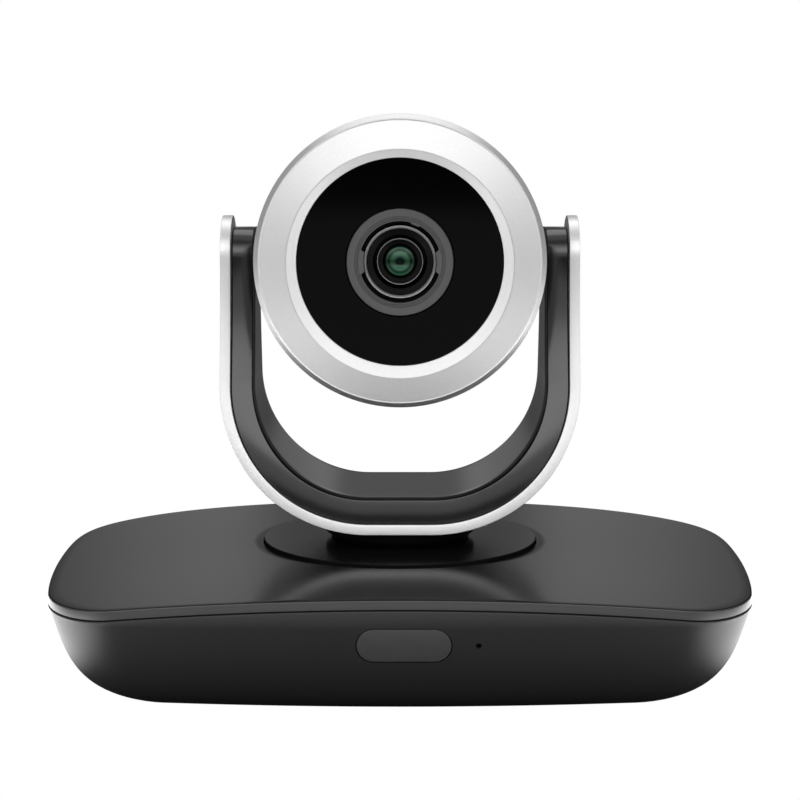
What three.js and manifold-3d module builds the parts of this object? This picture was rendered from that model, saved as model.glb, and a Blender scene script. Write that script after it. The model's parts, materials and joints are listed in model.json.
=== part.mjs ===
// A desk-top pan, tilt and zoom camera: a low base, a turntable with a U-shaped yoke, and a round head.
// Millimetres, +Z up. The lens looks along -Y, the origin is the bottom centre of the base.
import * as THREE from "three";
import { mergeVertices } from "three/addons/utils/BufferGeometryUtils.js";
import Module from "manifold-3d";

const wasm = await Module();
wasm.setup();

// ---- Driving dimensions -------------------------------------------------------------------
const fitGap = 0.3; // between pieces that touch
const runningGap = 0.6; // between pieces that move past each other

// Base casing
const baseWidth = 232;
const baseDepth = 152;
const baseWall = 2.5;
const tubBottomZ = 1.2;
const coverTopZ = 39.8;
const coverWall = 2.2;
const rimHeight = 3;
const rimRound = 0.8;
const crownDrop = 5.7; // how far the cover's crown falls from the middle to its sides
const frontDrop = 1.6; // and from the pan axis to the front edge
const tubBottomInset = 24;
const tubEndShare = 0.65; // the front and back walls taper this share as much as the sides
const tubEndBow = 0.4; // and this much more out at the corners
const outlinePoints = 64;

// Turntable and pan drive
const panAxisY = 10;
const discRadius = 46.4;
const discTopZ = 40;
const discThickness = 3;
const neckRadius = 25.4;
const panShaftRadius = 7;
const panShaftBore = 4.5;
const panBushWall = 2.7;
const panBushLength = 5;
const bearingHousingWall = 3.2;
const bearingTopZ = 26.3;
const panGearZ = 28;
const panGearThickness = 5;
const panModule = 1;
const panGearTeeth = 60;
const panPinionTeeth = 12;
const panMotorRadius = 17.5;
const motorShaftRadius = 1.5;

// Chassis plate and feet
const chassisZ = 6;
const chassisThickness = 1.5;
const chassisSideSpace = 46; // from the casing's side to the plate
const chassisEndSpace = 27; // and from its front or back
const chassisScrewInset = 13;
const footRadius = 7;
const footSideSpace = 50; // from the casing's side to the foot's middle
const footEndSpace = 40;
const postSideSpace = 36;
const postEndSpace = 50;
const coverPostRadius = 3.6;
const coverScrewLength = 14;
const screwShank = 1.4;
const screwHeadRadius = 2.7;
const screwHeadHeight = 1.5;
const tripodY = -30;
const tripodInsertRadius = 5;
const tripodBore = 3.2; // a 1/4 inch camera thread

// Yoke
const tiltAxisZ = 135.8;
const yokeBottomZ = 45.6;
const bandThickness = 3.4;
const frameThickness = 6.6;
const innerCoverThickness = 0.8;
const yokeFloorExtra = 0.9; // the yoke's floor is this much thicker than its arms
const yokeCorner = 49;
const yokeHalfDepth = 27;
const armTopRadius = 14.1;
const frameTopRadius = 10.3;
const tiltPinRadius = 5;

// Head
const headRadius = 47.2;
const headGap = 0.9; // between the head's rim and each arm
const ringRimY = -30.2;
const ringFaceY = -33;
const ringFaceStep = 1.6; // the ring's face starts this far inside its rim
const ringInnerRadius = 36.6;
const ringInnerY = -35;
const ringBackY = -20;
const ringWall = 1.6;
const panelY = -33;
const bezelWidth = 2.7; // the shallow bevel between the ring and the front panel
const panelThickness = 1.8;
const shellWall = 2.2;
const shellStep = 1.2; // the head shells stand this far inside the front ring
const shellSplitY = 12;
const shellBackY = 45;
const lensRingRadius = 17.2;
const lensRingWall = 3.5;
const lensFrontY = -32.4;
const barrelWall = 1.3;
const retainerWall = 1.1;
const zoomBlockWidth = 36;
const zoomBlockHeight = 42;
const zoomBlockFrontY = -21;
const zoomBlockBackY = 22;
const zoomBore = 13.2;
const zoomGroupY = -12;
const focusGroupY = 8;
const cellLength = 7;
const bushWall = 2.8;
const bracketWall = 1.6;
const bracketSpace = 2.8; // between the head chassis and the front shell
const bracketTop = 12;
const bracketHalfDepth = 11;
const bracketNarrowing = 14; // how far each side of the head chassis slopes in to its floor

// Tilt drive
const tiltModule = 0.7;
const tiltGearTeeth = 36;
const tiltPinionTeeth = 12;
const tiltGearSpace = 4.4; // between the head chassis and the tilt gear
const tiltGearThickness = 4;
const tiltMotorRadius = 8;
const tiltMotorSpace = 1; // to the tilt gear on one side and the camera block on the other

// Gear cutting
const pressureAngle = THREE.MathUtils.degToRad(25);
const addendum = 0.85; // in modules
const dedendum = 1.2; // in modules
const backlash = 0.3;
const centreExtra = 0.12; // added to each centre distance

// Sockets at the rear, from left to right as seen from the front
const rearFlangeSide = 3;
const rearFlange = 1.7;
const rearOpeningHalfWidth = 52;
const rearOpeningLowZ = 11;
const rearOpeningHighZ = 28;
const rearPanelRecess = 17.8; // from the back of the casing to the panel's inner face
const rearPanelThickness = 2;
const rearTrayDepth = 10;
const rearTrayWall = 1.4;
const boardThickness = 1.6;
const boardZ = 11;
const socketLength = 14.6;

// Infra-red window
const windowWidth = 28.6;
const windowHeight = 10.6;
const windowX = 1.2;
const windowZ = 23.6;
const windowThickness = 1.8;
const ledX = 23.6;
const ledHoleRadius = 0.8;

// ---- Sizes that follow from those ---------------------------------------------------------
const halfWidth = baseWidth / 2;
const halfDepth = baseDepth / 2;
const innerHalf = headRadius + headGap; // half the space between the arms
const innerCoverOuter = innerHalf + innerCoverThickness;
const frameInner = innerCoverOuter + fitGap;
const frameOuter = frameInner + frameThickness;
const bandInner = frameOuter + fitGap;
const bandOuter = bandInner + bandThickness;
const bandTopZ = tiltAxisZ + armTopRadius;
const frameTopZ = tiltAxisZ + frameTopRadius;
const discUnderZ = discTopZ - discThickness;
const chassisTopZ = chassisZ + chassisThickness;
const floorTopZ = tubBottomZ + baseWall;
const boardTopZ = boardZ + boardThickness;
const panDistance = (panModule * (panGearTeeth + panPinionTeeth)) / 2 + centreExtra;
const tiltDistance = (tiltModule * (tiltGearTeeth + tiltPinionTeeth)) / 2 + centreExtra;
const shellRadius = headRadius - shellStep;
const shellInner = shellRadius - shellWall;
const bushRadius = tiltPinRadius + fitGap + bushWall;
const zoomBlockBottom = -zoomBlockHeight / 2;
const zoomHalf = zoomBlockWidth / 2;
const chassisHalfWidth = halfWidth - chassisSideSpace;
const chassisHalfDepth = halfDepth - chassisEndSpace;
const rearPanelY = halfDepth - rearPanelRecess;
const ringFaceRadius = headRadius - ringFaceStep;
const panelRadius = ringInnerRadius - bezelWidth;
const lensRingBore = lensRingRadius - lensRingWall;
const barrelRadius = lensRingBore - fitGap;
const barrelInner = barrelRadius - barrelWall;
const frontLensRadius = barrelInner - fitGap; // the glass and its retaining ring both fit the barrel
const cellRadius = zoomBore - runningGap;
const bracketHalfWidth = shellInner - bracketSpace;
const bushInnerX = bracketHalfWidth - bracketWall;
const tiltGearX = -bushInnerX + tiltGearSpace;
const tiltMotorX = tiltGearX + tiltGearThickness + tiltMotorSpace;
const tiltMotorLength = -zoomHalf - tiltMotorSpace - tiltMotorX;

// ---- Materials ----------------------------------------------------------------------------
function paint(color, roughness, metalness) {
  return new THREE.MeshStandardMaterial({ color, roughness, metalness });
}

const silverPaint = paint(0xc9cbcd, 0.34, 0.75);
const charcoalPaint = paint(0x5f6063, 0.45, 0.2);
const darkPlastic = paint(0x2c2d2f, 0.5, 0);
const yokeGrey = paint(0x4b4c4e, 0.42, 0.15);
const blackGloss = paint(0x060607, 0.08, 0);
const blackMatte = paint(0x111112, 0.8, 0);
const lensGrey = paint(0x55575a, 0.4, 0.6);
const glassGreen = paint(0x27463f, 0.05, 0);
const steel = paint(0x9a9da0, 0.35, 0.9);
const brass = paint(0xb89a55, 0.35, 0.9);
const rubber = paint(0x1b1b1b, 0.9, 0);
const board = paint(0x1f5a3c, 0.6, 0);
const whitePlastic = paint(0xd8d6cf, 0.5, 0);

// ---- Solid helpers ------------------------------------------------------------------------
function toSolid(geometry) {
  const plain = geometry.index ? geometry.toNonIndexed() : geometry.clone();
  plain.deleteAttribute("normal");
  plain.deleteAttribute("uv");
  const merged = mergeVertices(plain, 1e-3);
  return new wasm.Manifold(
    new wasm.Mesh({
      numProp: 3,
      vertProperties: merged.attributes.position.array,
      triVerts: new Uint32Array(merged.index.array),
    }),
  );
}

function toGeometry(solid) {
  const mesh = solid.getMesh();
  const geometry = new THREE.BufferGeometry();
  geometry.setAttribute("position", new THREE.BufferAttribute(mesh.vertProperties, 3));
  geometry.setIndex(new THREE.BufferAttribute(mesh.triVerts, 1));
  geometry.computeVertexNormals();
  return geometry;
}

function join(first, ...rest) {
  return toGeometry(rest.reduce((sum, g) => sum.add(toSolid(g)), toSolid(first)));
}

function cut(first, ...tools) {
  return toGeometry(tools.reduce((left, g) => left.subtract(toSolid(g)), toSolid(first)));
}

function common(first, second) {
  return toGeometry(toSolid(first).intersect(toSolid(second)));
}

// A box between two corners.
function box(x0, x1, y0, y1, z0, z1) {
  const geometry = new THREE.BoxGeometry(x1 - x0, y1 - y0, z1 - z0);
  return geometry.translate((x0 + x1) / 2, (y0 + y1) / 2, (z0 + z1) / 2);
}

// A body turned about its own Y axis; the profile's points are [radius, y] in either direction.
function turned(profile, segments = 48) {
  const points = profile.map(([r, y]) => new THREE.Vector2(r, y));
  const onAxis = points[0].x === 0 && points.at(-1).x === 0;
  if (!onAxis) points.push(points[0].clone());
  if (THREE.ShapeUtils.area(points) < 0) points.reverse();
  return new THREE.LatheGeometry(points, segments);
}

function turnedZ(profile, segments) {
  return turned(profile, segments).rotateX(Math.PI / 2);
}

function turnedX(profile, segments) {
  return turned(profile, segments).rotateZ(-Math.PI / 2);
}

// A plain ring or, with an inner radius of 0, a plain disc.
function ringProfile(inner, outer, y0, y1) {
  return [
    [inner, y0],
    [outer, y0],
    [outer, y1],
    [inner, y1],
  ];
}

function ringZ(inner, outer, z0, z1, segments) {
  return turnedZ(ringProfile(inner, outer, z0, z1), segments);
}

function ringX(inner, outer, x0, x1, segments) {
  return turnedX(ringProfile(inner, outer, x0, x1), segments);
}

function ringY(inner, outer, y0, y1, segments) {
  return turned(ringProfile(inner, outer, y0, y1), segments);
}

// A flat outline in the XZ plane, stretched along Y.
function slabY(shape, y0, y1) {
  const geometry = new THREE.ExtrudeGeometry(shape, {
    depth: y1 - y0,
    bevelEnabled: false,
    curveSegments: 12,
  });
  return geometry.rotateX(Math.PI / 2).translate(0, y1, 0);
}

// A solid through rings of the same number of points, each counter-clockwise from above.
// The first and last rings are closed by flat fans, or joined to each other when loop is true.
function loft(rings, loop = false) {
  const count = rings[0].length;
  const corners = [];
  const steps = loop ? rings.length : rings.length - 1;
  for (let i = 0; i < steps; i += 1) {
    const low = rings[i];
    const high = rings[(i + 1) % rings.length];
    for (let k = 0; k < count; k += 1) {
      const next = (k + 1) % count;
      corners.push(low[k], low[next], high[next], low[k], high[next], high[k]);
    }
  }
  if (!loop) {
    fan(corners, rings[0], false);
    fan(corners, rings.at(-1), true);
  }
  return new THREE.BufferGeometry().setFromPoints(corners);
}

function fan(corners, ring, upward) {
  const centre = new THREE.Vector3();
  ring.forEach((p) => centre.add(p));
  centre.divideScalar(ring.length);
  ring.forEach((p, k) => {
    const next = ring[(k + 1) % ring.length];
    corners.push(centre, ...(upward ? [p, next] : [next, p]));
  });
}

const camera = new THREE.Group();
const turntable = new THREE.Group();
turntable.position.set(0, panAxisY, 0);
camera.add(turntable);
const head = new THREE.Group();
head.position.set(0, 0, tiltAxisZ);
turntable.add(head);

function piece(parent, name, geometry, material) {
  const mesh = new THREE.Mesh(geometry, material);
  mesh.name = name;
  parent.add(mesh);
  return mesh;
}

// ---- Base casing --------------------------------------------------------------------------
// Right half of the plan outline from the middle of the front to the middle of the back.
function outlineHalf() {
  const front = -halfDepth;
  const widestY = 20;
  const at = (fromSide, y) => new THREE.Vector2(halfWidth - fromSide, y);
  const path = new THREE.CurvePath();
  path.add(new THREE.LineCurve(new THREE.Vector2(0, front), at(30, front)));
  path.add(new THREE.CubicBezierCurve(at(30, front), at(21, front), at(10, front + 10), at(6, front + 26)));
  path.add(
    new THREE.CubicBezierCurve(at(6, front + 26), at(3.5, front + 38), at(0, widestY - 30), at(0, widestY)),
  );
  path.add(
    new THREE.CubicBezierCurve(
      at(0, widestY),
      at(0, halfDepth - 31),
      at(4, halfDepth - 20),
      at(22, halfDepth - 11),
    ),
  );
  path.add(
    new THREE.CubicBezierCurve(
      at(22, halfDepth - 11),
      at(36, halfDepth - 4),
      at(56, halfDepth),
      new THREE.Vector2(0, halfDepth),
    ),
  );
  return path.getSpacedPoints(outlinePoints / 2);
}

const rightHalf = outlineHalf();
const leftHalf = rightHalf
  .slice(1, -1)
  .reverse()
  .map((p) => new THREE.Vector2(-p.x, p.y));
const outline = [...rightHalf, ...leftHalf];

// Height of the cover's crowned top.
function crown(x, y) {
  const forward = Math.max(0, panAxisY - y) / (panAxisY + halfDepth);
  return coverTopZ - crownDrop * (x / halfWidth) ** 2 - frontDrop * forward ** 2;
}

// The outline drawn in by inset, at a height that is a number or follows the crown by a drop.
function casingRing(inset, height) {
  const scaleX = 1 - inset / halfWidth;
  const scaleY = 1 - inset / halfDepth;
  return outline.map((p) => {
    const x = p.x * scaleX;
    const y = p.y * scaleY;
    const z = height.drop === undefined ? height : crown(x, y) - height.drop;
    return new THREE.Vector3(x, y, z);
  });
}

// Part of the way from the casing's outline to a circle about the pan axis.
function crownRing(inset, radius, share, drop) {
  return casingRing(inset, 0).map((p) => {
    const out = new THREE.Vector3(p.x, p.y - panAxisY, 0).normalize();
    const x = THREE.MathUtils.lerp(p.x, out.x * radius, share);
    const y = THREE.MathUtils.lerp(p.y, out.y * radius + panAxisY, share);
    return new THREE.Vector3(x, y, crown(x, y) - drop);
  });
}

// The tub's side wall: inset against height, from its top edge down to the floor.
function tubProfile(floor) {
  const curve = new THREE.CubicBezierCurve(
    new THREE.Vector2(0, coverTopZ - crownDrop - rimHeight),
    new THREE.Vector2(3.5, 19),
    new THREE.Vector2(6, floor),
    new THREE.Vector2(tubBottomInset, floor),
  );
  return curve.getPoints(6);
}

// The casing's outline at one point of that wall, drawn in further by extra.
function tubRing(point, extra) {
  return outline.map((p) => {
    const share = tubEndShare + tubEndBow * (p.x / halfWidth) ** 2;
    const x = p.x * (1 - (point.x + extra) / halfWidth);
    const y = p.y * (1 - (point.x * share + extra) / halfDepth);
    return new THREE.Vector3(x, y, point.y);
  });
}

// How far the wall has run in at the middle of the front.
function frontInset(z) {
  const points = tubProfile(tubBottomZ);
  const above = points.findLastIndex((p) => p.y >= z);
  const [a, b] = [points[above], points[above + 1]];
  return tubEndShare * THREE.MathUtils.mapLinear(z, a.y, b.y, a.x, b.x);
}

const windowTilt = Math.atan2(
  frontInset(windowZ - windowHeight / 2) - frontInset(windowZ + windowHeight / 2),
  windowHeight,
);
const windowFaceY = -halfDepth + frontInset(windowZ);

// A pill standing in the tub's sloping front wall, from depth y0 to y1 behind its face.
function windowPill(grow, y0, y1) {
  const radius = windowHeight / 2 + grow;
  const run = (windowWidth - windowHeight) / 2;
  const shape = new THREE.Shape();
  shape.absarc(run, 0, radius, -Math.PI / 2, Math.PI / 2, false);
  shape.absarc(-run, 0, radius, Math.PI / 2, (3 * Math.PI) / 2, false);
  return slabY(shape, y0, y1).rotateX(windowTilt).translate(windowX, windowFaceY, windowZ);
}

function ledHole(radius, y0, y1) {
  return ringY(0, radius, y0, y1, 16).rotateX(windowTilt).translate(ledX, windowFaceY, windowZ);
}

// The four corners of a rectangle about the origin.
function fourPlaces(x, y) {
  return [-1, 1].flatMap((sx) => [-1, 1].map((sy) => [sx * x, sy * y]));
}

const tubPosts = fourPlaces(chassisHalfWidth - chassisScrewInset, chassisHalfDepth - chassisScrewInset);
const coverPosts = fourPlaces(halfWidth - postSideSpace, halfDepth - postEndSpace);
const feet = fourPlaces(halfWidth - footSideSpace, halfDepth - footEndSpace);

function baseTub() {
  const outer = tubProfile(tubBottomZ).slice(1).reverse();
  const inner = tubProfile(floorTopZ).slice(1);
  const edge = { drop: rimHeight + fitGap };
  const rings = [
    ...outer.map((p) => tubRing(p, 0)),
    casingRing(0, edge),
    casingRing(baseWall, edge),
    ...inner.map((p) => tubRing(p, baseWall)),
  ];
  const bosses = tubPosts.map(([x, y]) =>
    ringZ(0, 4, floorTopZ - 1, chassisZ - fitGap, 20).translate(x, y, 0),
  );
  const shell = join(loft(rings), ...bosses);
  return cut(
    shell,
    ...tubPosts.map(([x, y]) =>
      ringZ(0, screwShank + fitGap, floorTopZ - 0.5, chassisZ + 1, 12).translate(x, y, 0),
    ),
    ...coverPosts.flatMap(([x, y]) => [
      ringZ(0, screwShank + fitGap, -1, floorTopZ + 1, 12).translate(x, y, 0),
      ringZ(0, screwHeadRadius + fitGap, -1, floorTopZ - 1 + fitGap, 16).translate(x, y, 0),
    ]),
    ringZ(0, tripodInsertRadius + fitGap, -1, chassisZ, 24).translate(0, tripodY, 0),
    windowPill(fitGap, -baseWall, baseWall * 3),
    ledHole(ledHoleRadius, -baseWall, baseWall * 3),
    box(
      -rearOpeningHalfWidth,
      rearOpeningHalfWidth,
      rearPanelY,
      halfDepth + 5,
      rearOpeningLowZ,
      rearOpeningHighZ,
    ),
  );
}

function baseCover() {
  const hole = discRadius + runningGap;
  const shares = [0.25, 0.5, 0.75, 1];
  const rings = [
    casingRing(0, { drop: rimHeight }),
    casingRing(0, { drop: rimRound }),
    casingRing(rimRound, { drop: 0 }),
    ...shares.map((share) => crownRing(rimRound, hole, share, 0)),
    ...shares.toReversed().map((share) => crownRing(baseWall, hole, share, coverWall)),
    casingRing(baseWall, { drop: coverWall }),
    casingRing(baseWall, { drop: rimHeight }),
  ];
  const posts = coverPosts.map(([x, y]) =>
    cut(
      ringZ(0, coverPostRadius, floorTopZ + fitGap, crown(x, y) - coverWall / 2, 16),
      ringZ(0, screwShank + fitGap, 0, crown(x, y) - coverWall * 3, 12),
    ).translate(x, y, 0),
  );
  return join(loft(rings, true), ...posts);
}

piece(camera, "base_tub", baseTub(), darkPlastic);
piece(camera, "base_cover", baseCover(), charcoalPaint);

feet.forEach(([x, y], i) => {
  const foot = turnedZ(
    [
      [0, 0],
      [footRadius - 0.6, 0],
      [footRadius, 0.5],
      [footRadius, tubBottomZ - fitGap],
      [0, tubBottomZ - fitGap],
    ],
    16,
  );
  piece(camera, `foot_${i + 1}`, foot.translate(x, y, 0), rubber);
});

// A pan-head screw standing on its head or its point, with its head's underside at z.
function screw(z, length, upward) {
  const way = upward ? 1 : -1;
  return turnedZ(
    [
      [0, z - way * screwHeadHeight],
      [screwHeadRadius - 0.7, z - way * screwHeadHeight],
      [screwHeadRadius, z - way * screwHeadHeight * 0.4],
      [screwHeadRadius, z],
      [screwShank, z],
      [screwShank, z + way * length],
      [0, z + way * length],
    ],
    10,
  );
}

// ---- Chassis, boards and sockets ----------------------------------------------------------
const chassisPlate = cut(
  box(
    -chassisHalfWidth,
    chassisHalfWidth,
    -chassisHalfDepth,
    chassisHalfDepth,
    chassisZ,
    chassisTopZ,
  ),
  ...tubPosts.map(([x, y]) =>
    ringZ(0, screwShank + fitGap, chassisZ - 1, chassisTopZ + 1, 12).translate(x, y, 0),
  ),
);
piece(camera, "chassis_plate", chassisPlate, steel);
tubPosts.forEach(([x, y], i) => {
  const length = chassisTopZ + fitGap - floorTopZ;
  const fixing = screw(chassisTopZ + fitGap, length, false).translate(x, y, 0);
  piece(camera, `chassis_screw_${i + 1}`, fixing, steel);
});
coverPosts.forEach(([x, y], i) => {
  const fixing = screw(floorTopZ - 1, coverScrewLength, true).translate(x, y, 0);
  piece(camera, `cover_screw_${i + 1}`, fixing, steel);
});
const tripodInsert = ringZ(tripodBore, tripodInsertRadius, tubBottomZ, chassisZ - fitGap, 24);
piece(camera, "tripod_insert", tripodInsert.translate(0, tripodY, 0), brass);

// The main board fills the space behind the pan motor and stands on two posts.
const boardFrontY = panAxisY + panMotorRadius + 2;
const boardBackY = rearPanelY - runningGap;
const boardHalfWidth = chassisHalfWidth - 2;
const mainBoard = box(-boardHalfWidth, boardHalfWidth, boardFrontY, boardBackY, boardZ, boardTopZ);
const boardPostX = boardHalfWidth - 4;
const boardPosts = [-1, 1].map((side) =>
  box(-2, 2, -2, 2, chassisTopZ + fitGap, boardTopZ - 0.2).translate(
    side * boardPostX,
    boardFrontY + 6,
    0,
  ),
);
piece(camera, "main_board", join(mainBoard, ...boardPosts), board);

// Each socket: its middle, its outside and the mouth cut into it.
const sockets = [
  { name: "lan_socket", x: -38, width: 16, height: 13.4, mouth: [11.8, 7.4], depth: 11, skin: steel },
  { name: "usb_socket", x: -16, width: 12, height: 11, mouth: [8.6, 7.9], depth: 9, skin: steel },
  { name: "hdmi_socket", x: 4, width: 15.4, height: 6.8, mouth: [14, 4.7], depth: 10, skin: steel },
  { name: "control_socket", x: 24, width: 14, height: 13, bore: 4.5, depth: 8, skin: blackMatte },
  { name: "dc_jack", x: 42, width: 9, height: 11, bore: 3.1, depth: 9, pin: 1, skin: blackMatte },
];
const socketFrontY = rearPanelY + rearPanelThickness + 0.4;
const socketBackY = socketFrontY - socketLength;

function socketMouth(socket) {
  const middleZ = boardTopZ + fitGap + socket.height / 2;
  const y0 = socketFrontY - socket.depth;
  const y1 = socketFrontY + 1;
  if (socket.bore) return ringY(0, socket.bore, y0, y1, 20).translate(socket.x, 0, middleZ);
  const [w, h] = socket.mouth;
  return box(socket.x - w / 2, socket.x + w / 2, y0, y1, middleZ - h / 2, middleZ + h / 2);
}

function socketBody(socket, grow, y0, y1) {
  const z0 = boardTopZ + fitGap;
  return box(
    socket.x - socket.width / 2 - grow,
    socket.x + socket.width / 2 + grow,
    y0,
    y1,
    z0 - grow,
    z0 + socket.height + grow,
  );
}

for (const socket of sockets) {
  let body = cut(socketBody(socket, 0, socketBackY, socketFrontY), socketMouth(socket));
  if (socket.pin) {
    const pinZ = boardTopZ + fitGap + socket.height / 2;
    const pin = ringY(0, socket.pin, socketBackY + 1, socketFrontY - 1, 12);
    body = join(body, pin.translate(socket.x, 0, pinZ));
  }
  piece(camera, socket.name, body, socket.skin);
}

function rearPanel() {
  const frontY = rearPanelY + rearPanelThickness;
  const frameEndY = frontY + rearTrayDepth;
  const low = rearOpeningLowZ + fitGap;
  const high = rearOpeningHighZ - fitGap;
  const half = rearOpeningHalfWidth - fitGap;
  const wall = rearTrayWall;
  const plate = box(
    -rearOpeningHalfWidth - rearFlangeSide,
    rearOpeningHalfWidth + rearFlangeSide,
    rearPanelY,
    frontY,
    rearOpeningLowZ - rearFlange,
    rearOpeningHighZ + rearFlange,
  );
  const tray = join(plate, box(-half, half, rearPanelY, frameEndY, low, high));
  const pocket = box(-half + wall, half - wall, frontY, frameEndY + 1, low + wall, high - wall);
  const holes = sockets.map((socket) => socketBody(socket, fitGap, rearPanelY - 1, frontY + 1));
  return cut(tray, pocket, ...holes);
}

piece(camera, "rear_panel", rearPanel(), blackMatte);

// ---- Infra-red window, receiver and lamp --------------------------------------------------
piece(camera, "ir_window", windowPill(0, 0.4, 0.4 + windowThickness), blackGloss);
const frontBoardY = windowFaceY + 13;
piece(
  camera,
  "front_board",
  box(-34, 34, frontBoardY, frontBoardY + boardThickness, chassisTopZ + 1, 29),
  board,
);
const receiver = join(
  box(-5, 5, frontBoardY - fitGap - 4, frontBoardY - fitGap, windowZ - 3.5, windowZ + 3.5),
  new THREE.SphereGeometry(2.8, 10, 6).translate(0, frontBoardY - fitGap - 4, windowZ),
);
piece(camera, "ir_receiver", receiver, blackGloss);
const lamp = turned(
  [
    [0, frontBoardY - fitGap - 5.5],
    [1, frontBoardY - fitGap - 5],
    [1.5, frontBoardY - fitGap - 4],
    [1.5, frontBoardY - fitGap - 1],
    [2, frontBoardY - fitGap - 1],
    [2, frontBoardY - fitGap],
    [0, frontBoardY - fitGap],
  ],
  10,
);
piece(camera, "status_lamp", lamp.translate(ledX, 0, windowZ), whitePlastic);

// ---- Gears --------------------------------------------------------------------------------
function involute(angle) {
  return Math.tan(angle) - angle;
}

// A spur gear along +Z from z = 0, with a tooth on +X.
function spurGear(teeth, module, thickness, bore) {
  const pitch = (teeth * module) / 2;
  const baseRadius = pitch * Math.cos(pressureAngle);
  const root = pitch - dedendum * module;
  const tip = pitch + addendum * module;
  const halfTooth = Math.PI / (2 * teeth) - backlash / (2 * pitch);
  const halfAt = (radius) => {
    const angle = Math.acos(Math.min(1, baseRadius / Math.max(radius, baseRadius)));
    return halfTooth + involute(pressureAngle) - involute(angle);
  };
  const flank = [root, tip];
  const points = [];
  for (let tooth = 0; tooth < teeth; tooth += 1) {
    const middle = (2 * Math.PI * tooth) / teeth;
    const add = (radius, turn) =>
      points.push(new THREE.Vector2(radius * Math.cos(turn), radius * Math.sin(turn)));
    flank.forEach((radius) => add(radius, middle - halfAt(radius)));
    flank.toReversed().forEach((radius) => add(radius, middle + halfAt(radius)));
  }
  const shape = new THREE.Shape(points);
  if (bore > 0) {
    const hole = new THREE.Path();
    hole.absarc(0, 0, bore, 0, 2 * Math.PI, true);
    shape.holes.push(hole);
  }
  return new THREE.ExtrudeGeometry(shape, {
    depth: thickness,
    bevelEnabled: false,
    curveSegments: 12,
  });
}

// A pinion with its motor shaft running from z0 to z1; a gap between teeth faces -X.
function pinionOnShaft(teeth, module, thickness, z0, z1) {
  const gear = spurGear(teeth, module, thickness, 0).rotateZ(Math.PI + Math.PI / teeth);
  return join(gear, ringZ(0, motorShaftRadius, z0, z1, 16));
}

// ---- Pan bearing and drive ----------------------------------------------------------------
const panBushRadius = panShaftRadius + fitGap + panBushWall;
const housingInner = panBushRadius + fitGap;
const housingFootZ = chassisTopZ + fitGap;

function panPlace(geometry) {
  return geometry.translate(0, panAxisY, 0);
}

const bearingHousing = turnedZ(
  [
    [housingInner, housingFootZ],
    [housingInner + bearingHousingWall + 3, housingFootZ],
    [housingInner + bearingHousingWall + 3, housingFootZ + 2],
    [housingInner + bearingHousingWall, housingFootZ + 2],
    [housingInner + bearingHousingWall, bearingTopZ],
    [housingInner, bearingTopZ],
  ],
  24,
);
piece(camera, "bearing_housing", panPlace(bearingHousing), steel);
const bushZ = { lower_pan_bush: housingFootZ + 1, upper_pan_bush: bearingTopZ - panBushLength };
for (const [name, z] of Object.entries(bushZ)) {
  const bush = ringZ(panShaftRadius + fitGap, panBushRadius, z, z + panBushLength, 24);
  piece(camera, name, panPlace(bush), brass);
}

const panMotorTopZ = panGearZ - 2;
const panMotor = cut(
  join(
    ringZ(0, panMotorRadius, housingFootZ, panMotorTopZ, 32),
    ringZ(0, 4.5, panMotorTopZ - 1, panMotorTopZ + 1.2, 20),
  ),
  ringZ(0, motorShaftRadius + fitGap, housingFootZ + 2, panMotorTopZ + 3, 16),
);
piece(camera, "pan_motor", panPlace(panMotor).translate(panDistance, 0, 0), steel);
const panPinion = piece(
  camera,
  "pan_pinion",
  pinionOnShaft(panPinionTeeth, panModule, panGearThickness, -14, panGearThickness),
  brass,
);
panPinion.position.set(panDistance, panAxisY, panGearZ);

const shaftBoreGap = panShaftRadius + fitGap;
const panGear = spurGear(panGearTeeth, panModule, panGearThickness, shaftBoreGap);
piece(turntable, "pan_gear", panGear.translate(0, 0, panGearZ), whitePlastic);
const panShaft = ringZ(panShaftBore, panShaftRadius, chassisTopZ + runningGap, yokeBottomZ - fitGap, 24);
piece(turntable, "pan_shaft", panShaft, steel);
const disc = turnedZ(
  [
    [shaftBoreGap, discTopZ],
    [discRadius - 0.5, discTopZ],
    [discRadius, discTopZ - 0.5],
    [discRadius, discUnderZ],
    [shaftBoreGap + 5, discUnderZ],
    [shaftBoreGap + 5, panGearZ + panGearThickness + fitGap],
    [shaftBoreGap, panGearZ + panGearThickness + fitGap],
  ],
  64,
);
piece(turntable, "turntable_disc", disc, charcoalPaint);
const neck = ringZ(shaftBoreGap, neckRadius, discTopZ + fitGap, yokeBottomZ - fitGap, 40);
piece(turntable, "neck", neck, blackMatte);

// ---- Yoke ---------------------------------------------------------------------------------
// A U in the XZ plane between an outer and an inner outline that share their corner centres.
function uShape(outerHalf, outerZ, wall, floorWall, topZ) {
  const radius = yokeCorner - (bandOuter - outerHalf);
  const innerRadius = radius - wall;
  const cornerX = outerHalf - radius;
  const shape = new THREE.Shape();
  shape.moveTo(outerHalf, topZ);
  shape.lineTo(outerHalf - wall, topZ);
  shape.absarc(cornerX, outerZ + floorWall + innerRadius, innerRadius, 0, -Math.PI / 2, true);
  shape.absarc(-cornerX, outerZ + floorWall + innerRadius, innerRadius, -Math.PI / 2, -Math.PI, true);
  shape.lineTo(-outerHalf + wall, topZ);
  shape.lineTo(-outerHalf, topZ);
  shape.absarc(-cornerX, outerZ + radius, radius, Math.PI, (3 * Math.PI) / 2, false);
  shape.absarc(cornerX, outerZ + radius, radius, -Math.PI / 2, 0, false);
  return slabY(shape, -yokeHalfDepth - 1, yokeHalfDepth + 1);
}

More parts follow.
